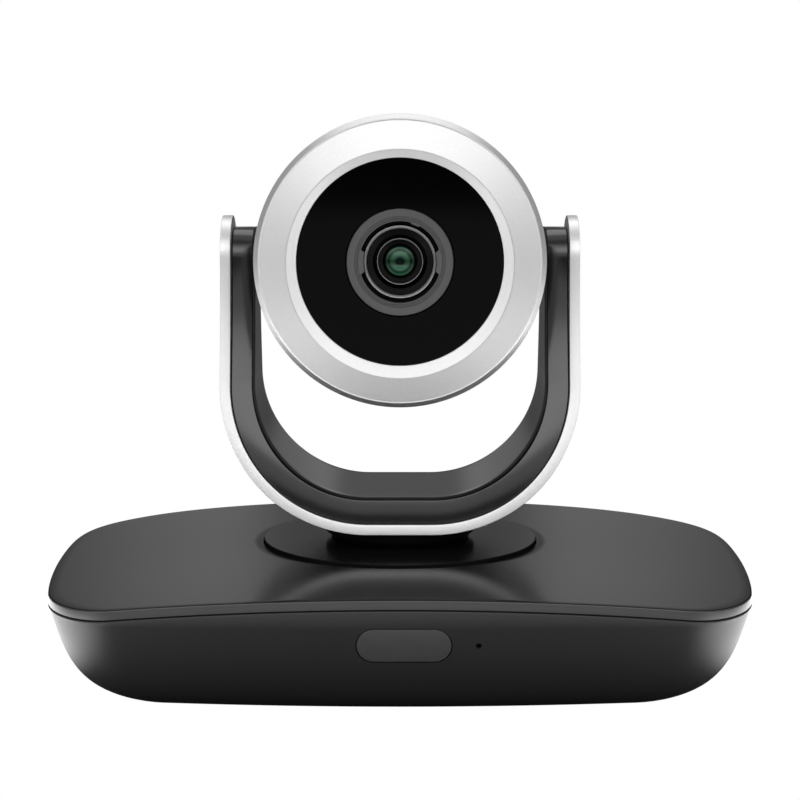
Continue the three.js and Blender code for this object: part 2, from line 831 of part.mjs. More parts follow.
// The yoke seen from its side: deep at the foot, narrowing to a round end about the tilt axis.
function armSide(footHalf, topRadius) {
  const footTopZ = yokeBottomZ + 9;
  const shape = new THREE.Shape();
  shape.moveTo(-footHalf, yokeBottomZ - 5);
  shape.lineTo(footHalf, yokeBottomZ - 5);
  shape.lineTo(footHalf, footTopZ);
  shape.bezierCurveTo(footHalf - 2, footTopZ + 30, topRadius + 1, tiltAxisZ - 30, topRadius, tiltAxisZ);
  shape.absarc(0, tiltAxisZ, topRadius, 0, Math.PI, false);
  shape.bezierCurveTo(
    -topRadius - 1,
    tiltAxisZ - 30,
    -footHalf + 2,
    footTopZ + 30,
    -footHalf,
    footTopZ,
  );
  const side = new THREE.ExtrudeGeometry(shape, {
    depth: baseWidth,
    bevelEnabled: false,
    curveSegments: 12,
  });
  return side.rotateX(Math.PI / 2).rotateZ(Math.PI / 2).translate(-baseWidth / 2, 0, 0);
}

const pinHole = ringX(0, tiltPinRadius + fitGap, -bandInner + 0.1, bandInner - 0.1, 24);
pinHole.translate(0, 0, tiltAxisZ);
const band = common(
  uShape(bandOuter, yokeBottomZ, bandThickness, bandThickness, bandTopZ),
  armSide(yokeHalfDepth, armTopRadius),
);
const frameFloorZ = yokeBottomZ + bandThickness + fitGap;
const frameFloorWall = frameThickness + yokeFloorExtra;
const frame = common(
  uShape(frameOuter, frameFloorZ, frameThickness, frameFloorWall, frameTopZ),
  armSide(yokeHalfDepth - 0.5, frameTopRadius),
);
const coverFloorZ = frameFloorZ + frameFloorWall + fitGap;
const innerCover = common(
  uShape(innerCoverOuter, coverFloorZ, innerCoverThickness, innerCoverThickness, frameTopZ),
  armSide(yokeHalfDepth - 0.8, frameTopRadius - fitGap),
);
piece(turntable, "yoke_band", band, silverPaint);
piece(turntable, "yoke_frame", cut(frame, pinHole), yokeGrey);
piece(turntable, "yoke_inner_cover", cut(innerCover, pinHole), yokeGrey);

const pinOuterX = frameOuter - fitGap;
const leftPin = ringX(0, tiltPinRadius, -pinOuterX, tiltGearX + tiltGearThickness + 0.6, 24);
const rightPin = ringX(0, tiltPinRadius, bushInnerX - 1, pinOuterX, 24);
piece(turntable, "tilt_pin_left", leftPin.translate(0, 0, tiltAxisZ), steel);
piece(turntable, "tilt_pin_right", rightPin.translate(0, 0, tiltAxisZ), steel);
const tiltGear = spurGear(tiltGearTeeth, tiltModule, tiltGearThickness, tiltPinRadius + fitGap);
// Its axis turned onto X, and the tooth on its own +X turned to face +Y.
tiltGear.rotateZ(Math.PI / 2).rotateY(Math.PI / 2);
piece(turntable, "tilt_gear", tiltGear.translate(tiltGearX, 0, tiltAxisZ), whitePlastic);

// ---- Head: shells, ring and front panel ---------------------------------------------------
const frontRing = turned(
  [
    [headRadius - ringWall, ringBackY],
    [headRadius - 0.6, ringBackY],
    [headRadius, ringBackY - 1],
    [headRadius, ringRimY],
    [ringFaceRadius + 0.9, ringFaceY + 0.9],
    [ringFaceRadius, ringFaceY],
    [ringInnerRadius, ringInnerY],
    [ringInnerRadius, ringInnerY + ringWall],
    [ringFaceRadius - 1, ringFaceY + ringWall],
    [headRadius - ringWall, ringRimY + 1],
  ],
  56,
);
piece(head, "front_ring", frontRing, silverPaint);

const bezelOuter = ringInnerRadius - fitGap;
const bezelInner = panelRadius + fitGap;
const flangeRadius = headRadius - ringWall - 1.4;
const flangeY = ringFaceY + ringWall + 0.4;
const bezel = turned(
  [
    [bezelOuter, ringInnerY + 0.3],
    [bezelInner, panelY],
    [bezelInner, flangeY + 1.5],
    [flangeRadius, flangeY + 1.5],
    [flangeRadius, flangeY],
    [bezelOuter, flangeY],
  ],
  56,
);
piece(head, "front_bezel", bezel, silverPaint);
const panelBore = lensRingRadius + fitGap;
const panel = ringY(panelBore, panelRadius, panelY, panelY + panelThickness, 56);
piece(head, "front_panel", panel, blackGloss);

const trunnionHole = ringX(0, bushRadius + fitGap, -headRadius, headRadius, 24);
const frontShell = cut(
  ringY(shellInner, shellRadius, ringBackY + fitGap, shellSplitY, 56),
  trunnionHole,
);
piece(head, "head_front_shell", frontShell, yokeGrey);

// The rear shell's outside or inside: straight from the split, then rounded to the back.
function rearCurve(radius, backY) {
  const curve = new THREE.CubicBezierCurve(
    new THREE.Vector2(radius, shellSplitY + 6),
    new THREE.Vector2(radius, shellSplitY + 20),
    new THREE.Vector2(radius * 0.62, backY),
    new THREE.Vector2(0, backY),
  );
  return curve.getPoints(6).map((p) => [p.x, p.y]);
}

const rearShellBody = turned(
  [
    ...rearCurve(shellInner, shellBackY - shellWall).toReversed(),
    [shellInner, shellSplitY + fitGap],
    [shellRadius, shellSplitY + fitGap],
    ...rearCurve(shellRadius, shellBackY),
  ],
  48,
);
piece(head, "head_rear_shell", rearShellBody, yokeGrey);

// ---- Head: lens and camera block ----------------------------------------------------------
const lensRing = ringY(lensRingBore, lensRingRadius, lensFrontY, zoomBlockFrontY - fitGap, 40);
piece(head, "lens_ring", lensRing, lensGrey);
const barrelFrontY = lensFrontY + 0.8;
const notchDepth = 1.6;
const notchHalfHeight = 5.2;
const notches = [-1, 1].map((side) =>
  box(
    -2,
    2,
    barrelFrontY - 1,
    barrelFrontY + notchDepth,
    -notchHalfHeight,
    notchHalfHeight,
  ).translate(side * barrelRadius, 0, 0),
);
const barrelTube = ringY(barrelInner, barrelRadius, barrelFrontY, zoomBlockFrontY - fitGap, 40);
piece(head, "lens_barrel", cut(barrelTube, ...notches), blackMatte);
const retainerY = barrelFrontY + 1;
piece(
  head,
  "lens_retaining_ring",
  ringY(frontLensRadius - retainerWall, frontLensRadius, retainerY, retainerY + 1.2, 32),
  lensGrey,
);
// A thick lens: a disc with both faces domed by the given heights.
function lensBody(radius, frontY, backY, frontRise, backRise) {
  const face = (y, rise, out) =>
    [0, 0.35, 0.7, 1].map((share) => [radius * share, y + out * rise * (1 - share * share)]);
  return turned(
    [...face(frontY, frontRise, -1), ...face(backY, backRise, 1).toReversed()],
    28,
  );
}
const frontLensY = retainerY + 1.2 + fitGap;
piece(
  head,
  "front_lens",
  lensBody(frontLensRadius, frontLensY + 0.6, frontLensY + 3.6, 1.4, 0.4),
  glassGreen,
);

const zoomBlock = cut(
  box(-zoomHalf, zoomHalf, zoomBlockFrontY, zoomBlockBackY, zoomBlockBottom, -zoomBlockBottom),
  ringY(0, zoomBore, zoomBlockFrontY - 1, zoomBlockBackY - 2.5, 40),
  ringY(0, 6, zoomBlockBackY - 4, zoomBlockBackY + 1, 24),
);
piece(head, "zoom_block", zoomBlock, blackMatte);

// A moving lens in its cell, from y forward of its back face.
function lensCell(y, glassRadius, domed) {
  const front = y;
  const back = y + cellLength;
  return turned(
    [
      [0, front + 1.6 - domed],
      [glassRadius * 0.6, front + 1.6 - domed * 0.6],
      [glassRadius, front + 1.6],
      [glassRadius + 0.8, front],
      [cellRadius, front],
      [cellRadius, back],
      [glassRadius + 0.8, back],
      [glassRadius, back - 1.6],
      [0, back - 1.6],
    ],
    24,
  );
}
piece(head, "zoom_lens_group", lensCell(zoomGroupY, 6.5, 1), glassGreen);
piece(head, "focus_lens_group", lensCell(focusGroupY, 5.5, 0.6), glassGreen);

const sensorY = zoomBlockBackY + fitGap;
const sensorBoard = join(
  box(-16, 16, sensorY, sensorY + boardThickness, -16, 16),
  box(-6, 6, sensorY + boardThickness - 0.2, sensorY + boardThickness + 3, 4, 12),
);
piece(head, "sensor_board", sensorBoard, board);

// ---- Head: chassis, bushes and tilt drive -------------------------------------------------
const bracketLowZ = zoomBlockBottom - fitGap;
const bracketLowX = bracketHalfWidth - bracketNarrowing;
const bracketBendZ = bracketTop - 23;
const bracketSlope = bracketWall / 2;
const rightSide = [
  [bracketHalfWidth, bracketTop],
  [bushInnerX, bracketTop],
  [bushInnerX, bracketBendZ + bracketSlope],
  [bracketLowX - bracketSlope, bracketLowZ],
];
const rightOuter = [
  [bracketLowX, bracketLowZ - bracketWall],
  [bracketHalfWidth, bracketBendZ],
];
const mirrored = (points) => points.map(([x, z]) => [-x, z]).reverse();
const bracketCorners = [...rightSide, ...mirrored(rightSide), ...mirrored(rightOuter), ...rightOuter];
const bracketShape = new THREE.Shape(bracketCorners.map(([x, z]) => new THREE.Vector2(x, z)));
const bracket = slabY(bracketShape, -bracketHalfDepth, bracketHalfDepth);
piece(head, "head_chassis", cut(bracket, trunnionHole), steel);
const bushOuterX = shellRadius - 1.2;
const leftBush = ringX(tiltPinRadius + fitGap, bushRadius, -bushOuterX, -bushInnerX, 24);
const rightBush = ringX(tiltPinRadius + fitGap, bushRadius, bushInnerX, bushOuterX, 24);
piece(head, "tilt_bush_left", leftBush, brass);
piece(head, "tilt_bush_right", rightBush, brass);

const tiltMotor = cut(
  ringX(0, tiltMotorRadius, tiltMotorX, tiltMotorX + tiltMotorLength, 28),
  ringX(0, motorShaftRadius + fitGap, tiltMotorX - 1, tiltMotorX + tiltMotorLength - 2, 16),
);
piece(head, "tilt_motor", tiltMotor.translate(0, tiltDistance, 0), steel);
const tiltPinionTurned = pinionOnShaft(
  tiltPinionTeeth,
  tiltModule,
  tiltGearThickness,
  0,
  tiltGearThickness + tiltMotorLength - 2,
);
// The gap that faces -X on the flat gear faces -Y, towards the tilt axis, once its axis is on X.
tiltPinionTurned.rotateZ(Math.PI / 2).rotateY(Math.PI / 2);
const tiltPinion = piece(head, "tilt_pinion", tiltPinionTurned, brass);
tiltPinion.position.set(tiltGearX, tiltDistance, 0);

export default camera;
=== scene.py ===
# %% [markdown]
# # A desk-top pan, tilt and zoom camera
#
# The real thing is a low plastic base, a turntable that carries a U-shaped yoke, and a round head
# that tilts between the yoke's arms. The engineering model gives every piece its place and size.
# Here the pieces that show are made again with the fine edges, grooves and finishes that a plain
# solid doesn't have, and everything else gets a material of its own.

# %% Load the engineering model
import json
import math

import bmesh
import bpy
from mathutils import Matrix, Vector


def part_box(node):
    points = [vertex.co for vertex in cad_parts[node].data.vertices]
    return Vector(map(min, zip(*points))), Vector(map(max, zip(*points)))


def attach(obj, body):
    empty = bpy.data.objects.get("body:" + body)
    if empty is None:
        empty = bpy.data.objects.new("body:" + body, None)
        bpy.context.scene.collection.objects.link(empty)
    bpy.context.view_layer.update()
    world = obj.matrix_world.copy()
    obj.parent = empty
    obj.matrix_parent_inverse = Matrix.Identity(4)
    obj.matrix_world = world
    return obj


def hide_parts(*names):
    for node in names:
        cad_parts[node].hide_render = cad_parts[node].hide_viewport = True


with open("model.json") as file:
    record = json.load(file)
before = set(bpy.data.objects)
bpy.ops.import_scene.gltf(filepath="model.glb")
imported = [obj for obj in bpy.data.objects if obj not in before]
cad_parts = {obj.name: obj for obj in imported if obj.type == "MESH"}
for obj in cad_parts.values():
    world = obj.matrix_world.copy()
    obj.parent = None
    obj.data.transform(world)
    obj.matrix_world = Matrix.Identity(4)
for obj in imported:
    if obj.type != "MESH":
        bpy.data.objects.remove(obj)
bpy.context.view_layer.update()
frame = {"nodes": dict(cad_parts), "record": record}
MM = 0.001


def middle(node):
    """The middle of a node's box at rest, in millimetres."""
    low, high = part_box(node)
    return Vector((a + b) / 2 / MM for a, b in zip(low, high))


def low_corner(node):
    return Vector(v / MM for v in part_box(node)[0])


def high_corner(node):
    return Vector(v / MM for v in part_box(node)[1])


# %% [markdown]
# The two axes that everything turns about. The pan axis is upright through the turntable. The tilt
# axis runs across the head, so the middle of the front ring gives its height.

# %% Axes and overall sizes
pan_y = middle("turntable_disc").y
tilt_z = middle("front_ring").z
base_high = high_corner("base_cover")
half_width = base_high.x
half_depth = base_high.y
head_origin = Vector((0, pan_y, tilt_z))
print(f"pan axis at y {pan_y:.1f} mm, tilt axis at z {tilt_z:.1f} mm")

# %% [markdown]
# ## Camera
#
# A product view from a little above: far enough back to keep the lines calm, with the lens looking
# slightly down onto the base. The angle over the turntable and the distance set everything.

# %% Camera
view_distance = 612 * MM
view_elevation = math.radians(11.8)
view_pitch = math.radians(7.52)
disc_top = high_corner("turntable_disc").z * MM

camera_data = bpy.data.cameras.new("camera")
camera_data.lens = 81.36
camera_data.sensor_width = 36
camera_data.clip_start = 0.01
camera = bpy.data.objects.new("camera", camera_data)
camera.location = (
    0,
    pan_y * MM - view_distance,
    disc_top + view_distance * math.tan(view_elevation),
)
camera.rotation_euler = (math.pi / 2 - view_pitch, 0, 0)
bpy.context.scene.collection.objects.link(camera)
bpy.context.scene.camera = camera
print("camera stands at", [round(v, 3) for v in camera.location])

# %% [markdown]
# ## Light
#
# A white studio. The sky is white where the camera looks straight at it. What the gloss reflects is
# a softer room: bright above the camera and behind the object, and dark low down in front, so that
# the black lens panel stays black.

# %% Node helpers
def new_nodes(owner):
    """Empties a material's or world's node tree and returns it with a function that adds nodes."""
    owner.use_nodes = True
    tree = owner.node_tree
    tree.nodes.clear()

    def add(kind, **sockets):
        node = tree.nodes.new(kind)
        for name, value in sockets.items():
            node.inputs[name.replace("_", " ")].default_value = value
        return node

    return tree, add


def grey(value):
    return (value, value, value, 1)


# %% Arithmetic in node trees
def arithmetic(tree):
    """Functions that add a Math node or a smooth ramp and return its output socket."""

    def feed(socket, value):
        if isinstance(value, (int, float)):
            socket.default_value = value
        else:
            tree.links.new(value, socket)

    def calc(operation, first, second=0.0, third=0.0):
        node = tree.nodes.new("ShaderNodeMath")
        node.operation = operation
        for socket, value in zip(node.inputs, (first, second, third)):
            feed(socket, value)
        return node.outputs[0]

    def ramp(value, start, end, low=0.0, high=1.0):
        node = tree.nodes.new("ShaderNodeMapRange")
        node.interpolation_type = "SMOOTHSTEP"
        for socket, number in zip(node.inputs, (value, start, end, low, high)):
            feed(socket, number)
        return node.outputs[0]

    return calc, ramp


# %% [markdown]
# The room, by direction. It brightens upwards and towards the space above the camera. Low down in
# front there is a dark gap, which the black panel mirrors. Behind the object the room is bright
# on both sides of a dark middle, which the gloss on the base and in the yoke shows.

# %% World
def build_world():
    world = bpy.data.worlds.new("studio")
    tree, add = new_nodes(world)
    link = tree.links.new
    calc, ramp = arithmetic(tree)
    where = add("ShaderNodeTexCoord")
    split = add("ShaderNodeSeparateXYZ")
    link(where.outputs["Generated"], split.inputs[0])
    x, y, z = split.outputs
    low = ramp(z, -0.1, 0.3, 0.14, 0.24)
    high = calc("MULTIPLY", ramp(z, 0.7, 0.98, 0.0, 0.55), ramp(y, -0.55, -0.2))
    ahead = calc("ADD", ramp(z, 0.04, 0.14, 0.0, 0.62), ramp(z, 0.30, 0.43, 0.0, 1.1))
    in_front = calc("MULTIPLY", ramp(y, 0.1, -0.7), ahead)
    in_front = calc("MULTIPLY", in_front, ramp(z, 0.85, 0.6))
    room = calc("ADD", calc("ADD", low, high), in_front)
    off_axis = calc("POWER", calc("ADD", z, 0.06), 2.0)
    off_axis = calc("SQRT", calc("ADD", calc("MULTIPLY", x, x), off_axis))
    gap = ramp(off_axis, 0.12, 0.24, 0.99, 0.0)
    gap = calc("MULTIPLY", gap, ramp(y, 0.1, -0.1))
    room = calc("MULTIPLY", room, calc("SUBTRACT", 1.0, gap))
    aside = calc("ABSOLUTE", x)
    behind = calc("MULTIPLY", ramp(aside, 0.055, 0.115, 0.42, 1.0), ramp(aside, 0.115, 0.34, 1.0, 0.15))
    behind = calc("MULTIPLY", behind, ramp(z, 0.12, 0.34, 0.36, 0.9))
    back_share = calc("MULTIPLY", ramp(y, 0.3, 0.7), ramp(z, 0.6, 0.36))
    mixed = calc("MULTIPLY", room, calc("SUBTRACT", 1.0, back_share))
    mixed = calc("ADD", mixed, calc("MULTIPLY", behind, back_share))
    background = add("ShaderNodeBackground", Color=grey(1))
    link(mixed, background.inputs["Strength"])
    white = add("ShaderNodeBackground", Color=grey(1), Strength=1.0)
    path = add("ShaderNodeLightPath")
    mix = add("ShaderNodeMixShader")
    link(path.outputs["Is Camera Ray"], mix.inputs[0])
    link(background.outputs[0], mix.inputs[1])
    link(white.outputs[0], mix.inputs[2])
    out = add("ShaderNodeOutputWorld")
    link(mix.outputs[0], out.inputs["Surface"])
    bpy.context.scene.world = world


build_world()
bpy.context.scene.view_settings.view_transform = "Standard"
print("world:", bpy.context.scene.world.name)


# %% Lamps
def softbox(name, place, aim, size, power):
    """A rectangular lamp at place, facing aim; sizes in metres."""
    data = bpy.data.lights.new(name, "AREA")
    data.shape = "RECTANGLE"
    data.size, data.size_y = size
    data.energy = power
    lamp = bpy.data.objects.new(name, data)
    lamp.location = place
    facing = Vector(aim) - Vector(place)
    lamp.rotation_euler = facing.to_track_quat("-Z", "Y").to_euler()
    bpy.context.scene.collection.objects.link(lamp)
    return lamp


softbox("overhead_box", (0, 0.35, 1.1), (0, 0, 0.1), (1.2, 0.6), 3)
softbox("front_box", (0, -1.2, 0.75), (0, 0, 0.12), (1.3, 0.45), 1.6)
softbox("left_box", (-0.8, -0.45, 0.12), (-0.1, -0.05, 0.02), (0.4, 0.22), 0.3)
softbox("right_box", (0.8, -0.45, 0.12), (0.1, -0.05, 0.02), (0.4, 0.22), 0.3)
print("four soft lamps")


# %% [markdown]
# The floor is white to the camera. What the casing mirrors is a glowing floor with painted shade and light: a
# painted shadow where the base would shade it, painted bright patches beside and in front of it, and dim far
# off.

# %% Floor
def build_floor():
    mesh = bpy.data.meshes.new("floor")
    reach = 6
    under = -0.2 * MM
    corners = [(-reach, -reach, under), (reach, -reach, under), (reach, reach, under), (-reach, reach, under)]
    mesh.from_pydata(corners, [], [(0, 1, 2, 3)])
    floor = bpy.data.objects.new("floor", mesh)
    bpy.context.scene.collection.objects.link(floor)
    material = bpy.data.materials.new("pale_floor")
    tree, add = new_nodes(material)
    link = tree.links.new
    calc, ramp = arithmetic(tree)
    where = add("ShaderNodeTexCoord")
    split = add("ShaderNodeSeparateXYZ")
    link(where.outputs["Object"], split.inputs[0])
    x, y, _ = split.outputs
    across = calc("MULTIPLY", x, 0.65)
    away = calc("SQRT", calc("ADD", calc("MULTIPLY", across, across), calc("MULTIPLY", y, y)))
    # painted shadow: the glow dims near the base, where the base would shade the floor
    near = ramp(away, 0.07, 0.30, 0.015, 1.0)
    far = ramp(away, 0.42, 0.80, 1.0, 0.12)
    pale = add("ShaderNodeEmission", Color=grey(1), Strength=1.0)
    shaded = add("ShaderNodeEmission", Color=grey(1))
    aside, along = calc("ABSOLUTE", x), calc("ABSOLUTE", y)
    # painted light: bright glowing patches in front of the base and beside it
    strip = calc("MULTIPLY", ramp(y, -0.33, -0.38, 0.0, 3.0), ramp(y, -0.52, -0.46))
    strip = calc("MULTIPLY", strip, ramp(aside, 0.20, 0.10))
    beside = calc("MULTIPLY", ramp(aside, 0.105, 0.135, 0.0, 3.2), ramp(along, 0.2, 0.1))
    beside = calc("MULTIPLY", beside, ramp(aside, 0.32, 0.2))
    patches = calc("ADD", beside, strip)
    link(calc("ADD", calc("MULTIPLY", near, far), patches), shaded.inputs["Strength"])
    path = add("ShaderNodeLightPath")
    mix = add("ShaderNodeMixShader")
    link(path.outputs["Is Camera Ray"], mix.inputs[0])
    link(shaded.outputs[0], mix.inputs[1])
    link(pale.outputs[0], mix.inputs[2])
    out = add("ShaderNodeOutputMaterial")
    link(mix.outputs[0], out.inputs["Surface"])
    mesh.materials.append(material)


build_floor()
print("floor laid just under the feet")

# %% [markdown]
# ## Finishes
#
# Nothing on a real casing is perfectly smooth. Paint has a fine grain and moulded plastic has a
# spark-eroded texture, and both get shiny where they are handled. One shared group makes the grain
# and a slow drift in roughness; each finish sets its own scale and depth.

# %% Shared surface group
def build_grain_group():
    group = bpy.data.node_groups.new("surface_grain", "ShaderNodeTree")
    sockets = group.interface
    for name, value in (("Grain size", 900.0), ("Depth", 0.00002), ("Roughness", 0.4), ("Drift", 0.06)):
        socket = sockets.new_socket(name, in_out="INPUT", socket_type="NodeSocketFloat")
        socket.default_value = value
    sockets.new_socket("Normal", in_out="OUTPUT", socket_type="NodeSocketVector")
    sockets.new_socket("Roughness", in_out="OUTPUT", socket_type="NodeSocketFloat")
    sockets.new_socket("Speckle", in_out="OUTPUT", socket_type="NodeSocketFloat")
    nodes = group.nodes
    link = group.links.new
    given = nodes.new("NodeGroupInput")
    result = nodes.new("NodeGroupOutput")
    where = nodes.new("ShaderNodeTexCoord")
    fine = nodes.new("ShaderNodeTexNoise")
    fine.inputs["Detail"].default_value = 3
    link(where.outputs["Object"], fine.inputs["Vector"])
    link(given.outputs["Grain size"], fine.inputs["Scale"])
    bump = nodes.new("ShaderNodeBump")
    bump.inputs["Strength"].default_value = 1.0
    link(given.outputs["Depth"], bump.inputs["Distance"])
    link(fine.outputs["Fac"], bump.inputs["Height"])
    link(bump.outputs[0], result.inputs["Normal"])
    link(fine.outputs["Fac"], result.inputs["Speckle"])
    slow = nodes.new("ShaderNodeTexNoise")
    slow.inputs["Scale"].default_value = 28
    slow.inputs["Detail"].default_value = 4
    link(where.outputs["Object"], slow.inputs["Vector"])
    centred = nodes.new("ShaderNodeMath")
    centred.operation = "SUBTRACT"
    centred.inputs[1].default_value = 0.5
    link(slow.outputs["Fac"], centred.inputs[0])
    scaled = nodes.new("ShaderNodeMath")
    scaled.operation = "MULTIPLY_ADD"
    link(centred.outputs[0], scaled.inputs[0])
    link(given.outputs["Drift"], scaled.inputs[1])
    link(given.outputs["Roughness"], scaled.inputs[2])
    link(scaled.outputs[0], result.inputs["Roughness"])
    return group


grain_group = build_grain_group()
print(grain_group.name, "has", len(grain_group.nodes), "nodes")


# %% [markdown]
# A finish is a Principled shader fed by the grain group. The plain numbers, such as the coat, stay
# on the shader itself, and the colour varies a little with the speckle.

# %% Finish builder
def finish(name, colour, roughness, metallic=0.0, grain=900.0, depth=0.00002, drift=0.06, speckle=0.06,
           **plain):
    material = bpy.data.materials.new(name)
    tree, add = new_nodes(material)
    link = tree.links.new
    surface = add("ShaderNodeGroup")
    surface.node_tree = grain_group
    surface.inputs["Grain size"].default_value = grain
    surface.inputs["Depth"].default_value = depth
    surface.inputs["Roughness"].default_value = roughness
    surface.inputs["Drift"].default_value = drift
    shades = add("ShaderNodeMix")
    shades.data_type = "RGBA"
    dark, light = shades.inputs[6], shades.inputs[7]
    dark.default_value = (*[c * (1 - speckle) for c in colour], 1)
    light.default_value = (*[min(1, c * (1 + speckle)) for c in colour], 1)
    link(surface.outputs["Speckle"], shades.inputs[0])
    shader = add("ShaderNodeBsdfPrincipled", Metallic=metallic, **plain)
    link(shades.outputs[2], shader.inputs["Base Color"])
    link(surface.outputs["Roughness"], shader.inputs["Roughness"])
    link(surface.outputs["Normal"], shader.inputs["Normal"])
    out = add("ShaderNodeOutputMaterial")
    link(shader.outputs[0], out.inputs["Surface"])
    material.diffuse_color = (*colour, 1)
    return material


silver = finish("silver_paint", (0.70, 0.70, 0.70), 0.40, 0.75, grain=1500, depth=0.00003, speckle=0.05)
bevel_silver = finish("bevel_silver", (0.80, 0.80, 0.80), 0.42, 0.3, grain=1500, depth=0.00001)
charcoal = finish("charcoal_paint", (0.005, 0.005, 0.005), 0.17, grain=1800, depth=0.000002, drift=0.02,
                  IOR=1.18)
# a lighter copy of the cover's charcoal for its rim: painted light on the rim's side
rim_charcoal = finish("rim_charcoal", (0.028, 0.028, 0.028), 0.3, grain=1800, depth=0.000004, IOR=1.6)
tub_plastic = finish("tub_plastic", (0.019, 0.019, 0.019), 0.44, grain=1600, depth=0.00001)
yoke_grey = finish("yoke_grey", (0.012, 0.012, 0.012), 0.16, grain=1600, depth=0.000006, IOR=1.6)
lining_grey = finish("lining_grey", (0.008, 0.008, 0.008), 0.20, grain=1600, depth=0.000004, IOR=1.5)
# near black for the lining's edge faces: painted shade in the groove between the lining and the casting
groove_shade = finish("groove_shade", (0.001, 0.001, 0.001), 0.8, grain=900)
black_gloss = finish("black_gloss", (0.0008, 0.0008, 0.0008), 0.07, grain=60, depth=0.000001, drift=0.02)
cone_black = finish("cone_black", (0.003, 0.003, 0.003), 0.5, grain=1800, depth=0.00001, IOR=1.2)
window_black = finish("window_black", (0.066, 0.066, 0.066), 0.25, grain=300, depth=0.000002)
matte_black = finish("matte_black", (0.004, 0.004, 0.004), 0.5, grain=1800, depth=0.00001)
neck_black = finish("neck_black", (0.001, 0.001, 0.001), 0.6, grain=1800, depth=0.00001, IOR=1.15)
lens_grey = finish("lens_grey", (0.085, 0.085, 0.087), 0.38, 0.25, grain=2200, depth=0.00001)
lens_light = finish("lens_light", (0.30, 0.30, 0.30), 0.3, 0.6, grain=2200, depth=0.00001)
steel = finish("steel", (0.50, 0.51, 0.52), 0.32, 1.0, grain=2600, depth=0.00002, drift=0.12)
brass = finish("brass", (0.62, 0.45, 0.18), 0.3, 1.0, grain=2600, depth=0.00002, drift=0.12)
rubber = finish("rubber", (0.016, 0.016, 0.016), 0.8, grain=1100, depth=0.00006)
board_green = finish("circuit_board", (0.012, 0.10, 0.045), 0.45, grain=500, depth=0.00003, speckle=0.2)
white_plastic = finish("white_plastic", (0.70, 0.68, 0.62), 0.45, grain=900, depth=0.00003)
gold_contact = finish("gold_contact", (0.78, 0.56, 0.22), 0.22, 1.0, grain=2600, depth=0.00001)
print(len(bpy.data.materials), "materials so far")

# %% [markdown]
# ## Making meshes
#
# Three ways of making a surface cover almost everything here: a profile turned about an axis, a
# stack of rings for the casing, and a strap that is drawn flat and then bent over the yoke's U.

# %% Mesh helpers
def shade(mesh, crease=30):
    """Smooth shading, sharp where faces meet at over crease degrees."""
    mesh.shade_smooth()
    mesh.set_sharp_from_angle(angle=math.radians(crease))


def build(name, points, faces, material, crease=30, weld=1e-7, second=None, marked=()):
    """A smooth-shaded object from points in millimetres, sharp where faces meet at over crease.

    The marked faces take the second material."""
    mesh = bpy.data.meshes.new(name)
    mesh.from_pydata([Vector(p) * MM for p in points], [], faces)
    for index in marked:
        mesh.polygons[index].material_index = 1
    bm = bmesh.new()
    bm.from_mesh(mesh)
    bmesh.ops.remove_doubles(bm, verts=bm.verts, dist=weld)
    bmesh.ops.dissolve_degenerate(bm, edges=bm.edges, dist=weld)
    bmesh.ops.recalc_face_normals(bm, faces=bm.faces)
    bm.to_mesh(mesh)
    bm.free()
    shade(mesh, crease)
    mesh.materials.append(material)
    if second:
        mesh.materials.append(second)
    piece = bpy.data.objects.new(name, mesh)
    bpy.context.scene.collection.objects.link(piece)
    return piece


def stand_in(piece, body, slot, *nodes):
    """The piece rides on a body and stands for CAD nodes; the slot argument is not used."""
    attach(piece, body)
    if nodes:
        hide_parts(*nodes)
    print(f"{piece.name}: {len(piece.data.polygons)} faces on {body}")
    return piece


# %% Rounding the corners of a profile
def eased(corners, steps=4, closed=True):
    """Rounds (a, b, radius) corners with arcs; a plain (a, b) corner stays sharp.

    A support point just outside each arc keeps the flats beside it flat in the shading."""
    result = []
    count = len(corners)
    for i, corner in enumerate(corners):
        here = Vector(corner[:2])
        radius = corner[2] if len(corner) > 2 else 0
        end = not closed and i in (0, count - 1)
        if radius == 0 or end:
            result.append(tuple(here))
            continue
        back = (Vector(corners[i - 1][:2]) - here).normalized()
        on = (Vector(corners[(i + 1) % count][:2]) - here).normalized()
        half = back.angle(on) / 2
        reach = radius / math.tan(half)
        centre = here + (back + on).normalized() * (radius / math.sin(half))
        start = here + back * reach - centre
        sweep = math.pi - 2 * half
        turn = 1 if (start.x * on.y - start.y * on.x) > 0 else -1
        result.append(tuple(here + back * reach * 1.25))
        for k in range(steps + 1):
            angle = turn * sweep * k / steps
            cos, sin = math.cos(angle), math.sin(angle)
            spoke = Vector((start.x * cos - start.y * sin, start.x * sin + start.y * cos))
            result.append(tuple(centre + spoke))
        result.append(tuple(here + on * reach * 1.25))
    return result


# %% [markdown]
# Turning: the profile is a closed outline of (radius, distance along the axis). A radius of nought
# makes a pole.

# %% Turned pieces
AXES = {
    "X": lambda r, along, c, s: (along, r * c, r * s),
    "Y": lambda r, along, c, s: (r * c, along, r * s),
    "Z": lambda r, along, c, s: (r * c, r * s, along),
}


def turned(name, profile, material, axis="Y", centre=(0, 0, 0), segments=128, crease=30, closed=True):
    place = AXES[axis]
    points = []
    for radius, along in profile:
        for k in range(segments):
            angle = 2 * math.pi * k / segments
            at = Vector(place(radius, along, math.cos(angle), math.sin(angle)))
            points.append(at + Vector(centre))
    faces = []
    rows = len(profile)
    for i in range(rows if closed else rows - 1):
        low, high = i * segments, (i + 1) % rows * segments
        for k in range(segments):
            n = (k + 1) % segments
            faces.append((low + k, low + n, high + n, high + k))
    return build(name, points, faces, material, crease)


# %% [markdown]
# ## Base casing
#
# Seen from above the base is a rounded oblong: straight in front, tight front corners, slightly
# barrelled sides and a softer back. Smooth curves between a few control points give that outline,
# and every level of the casing is the same outline drawn in by an inset.

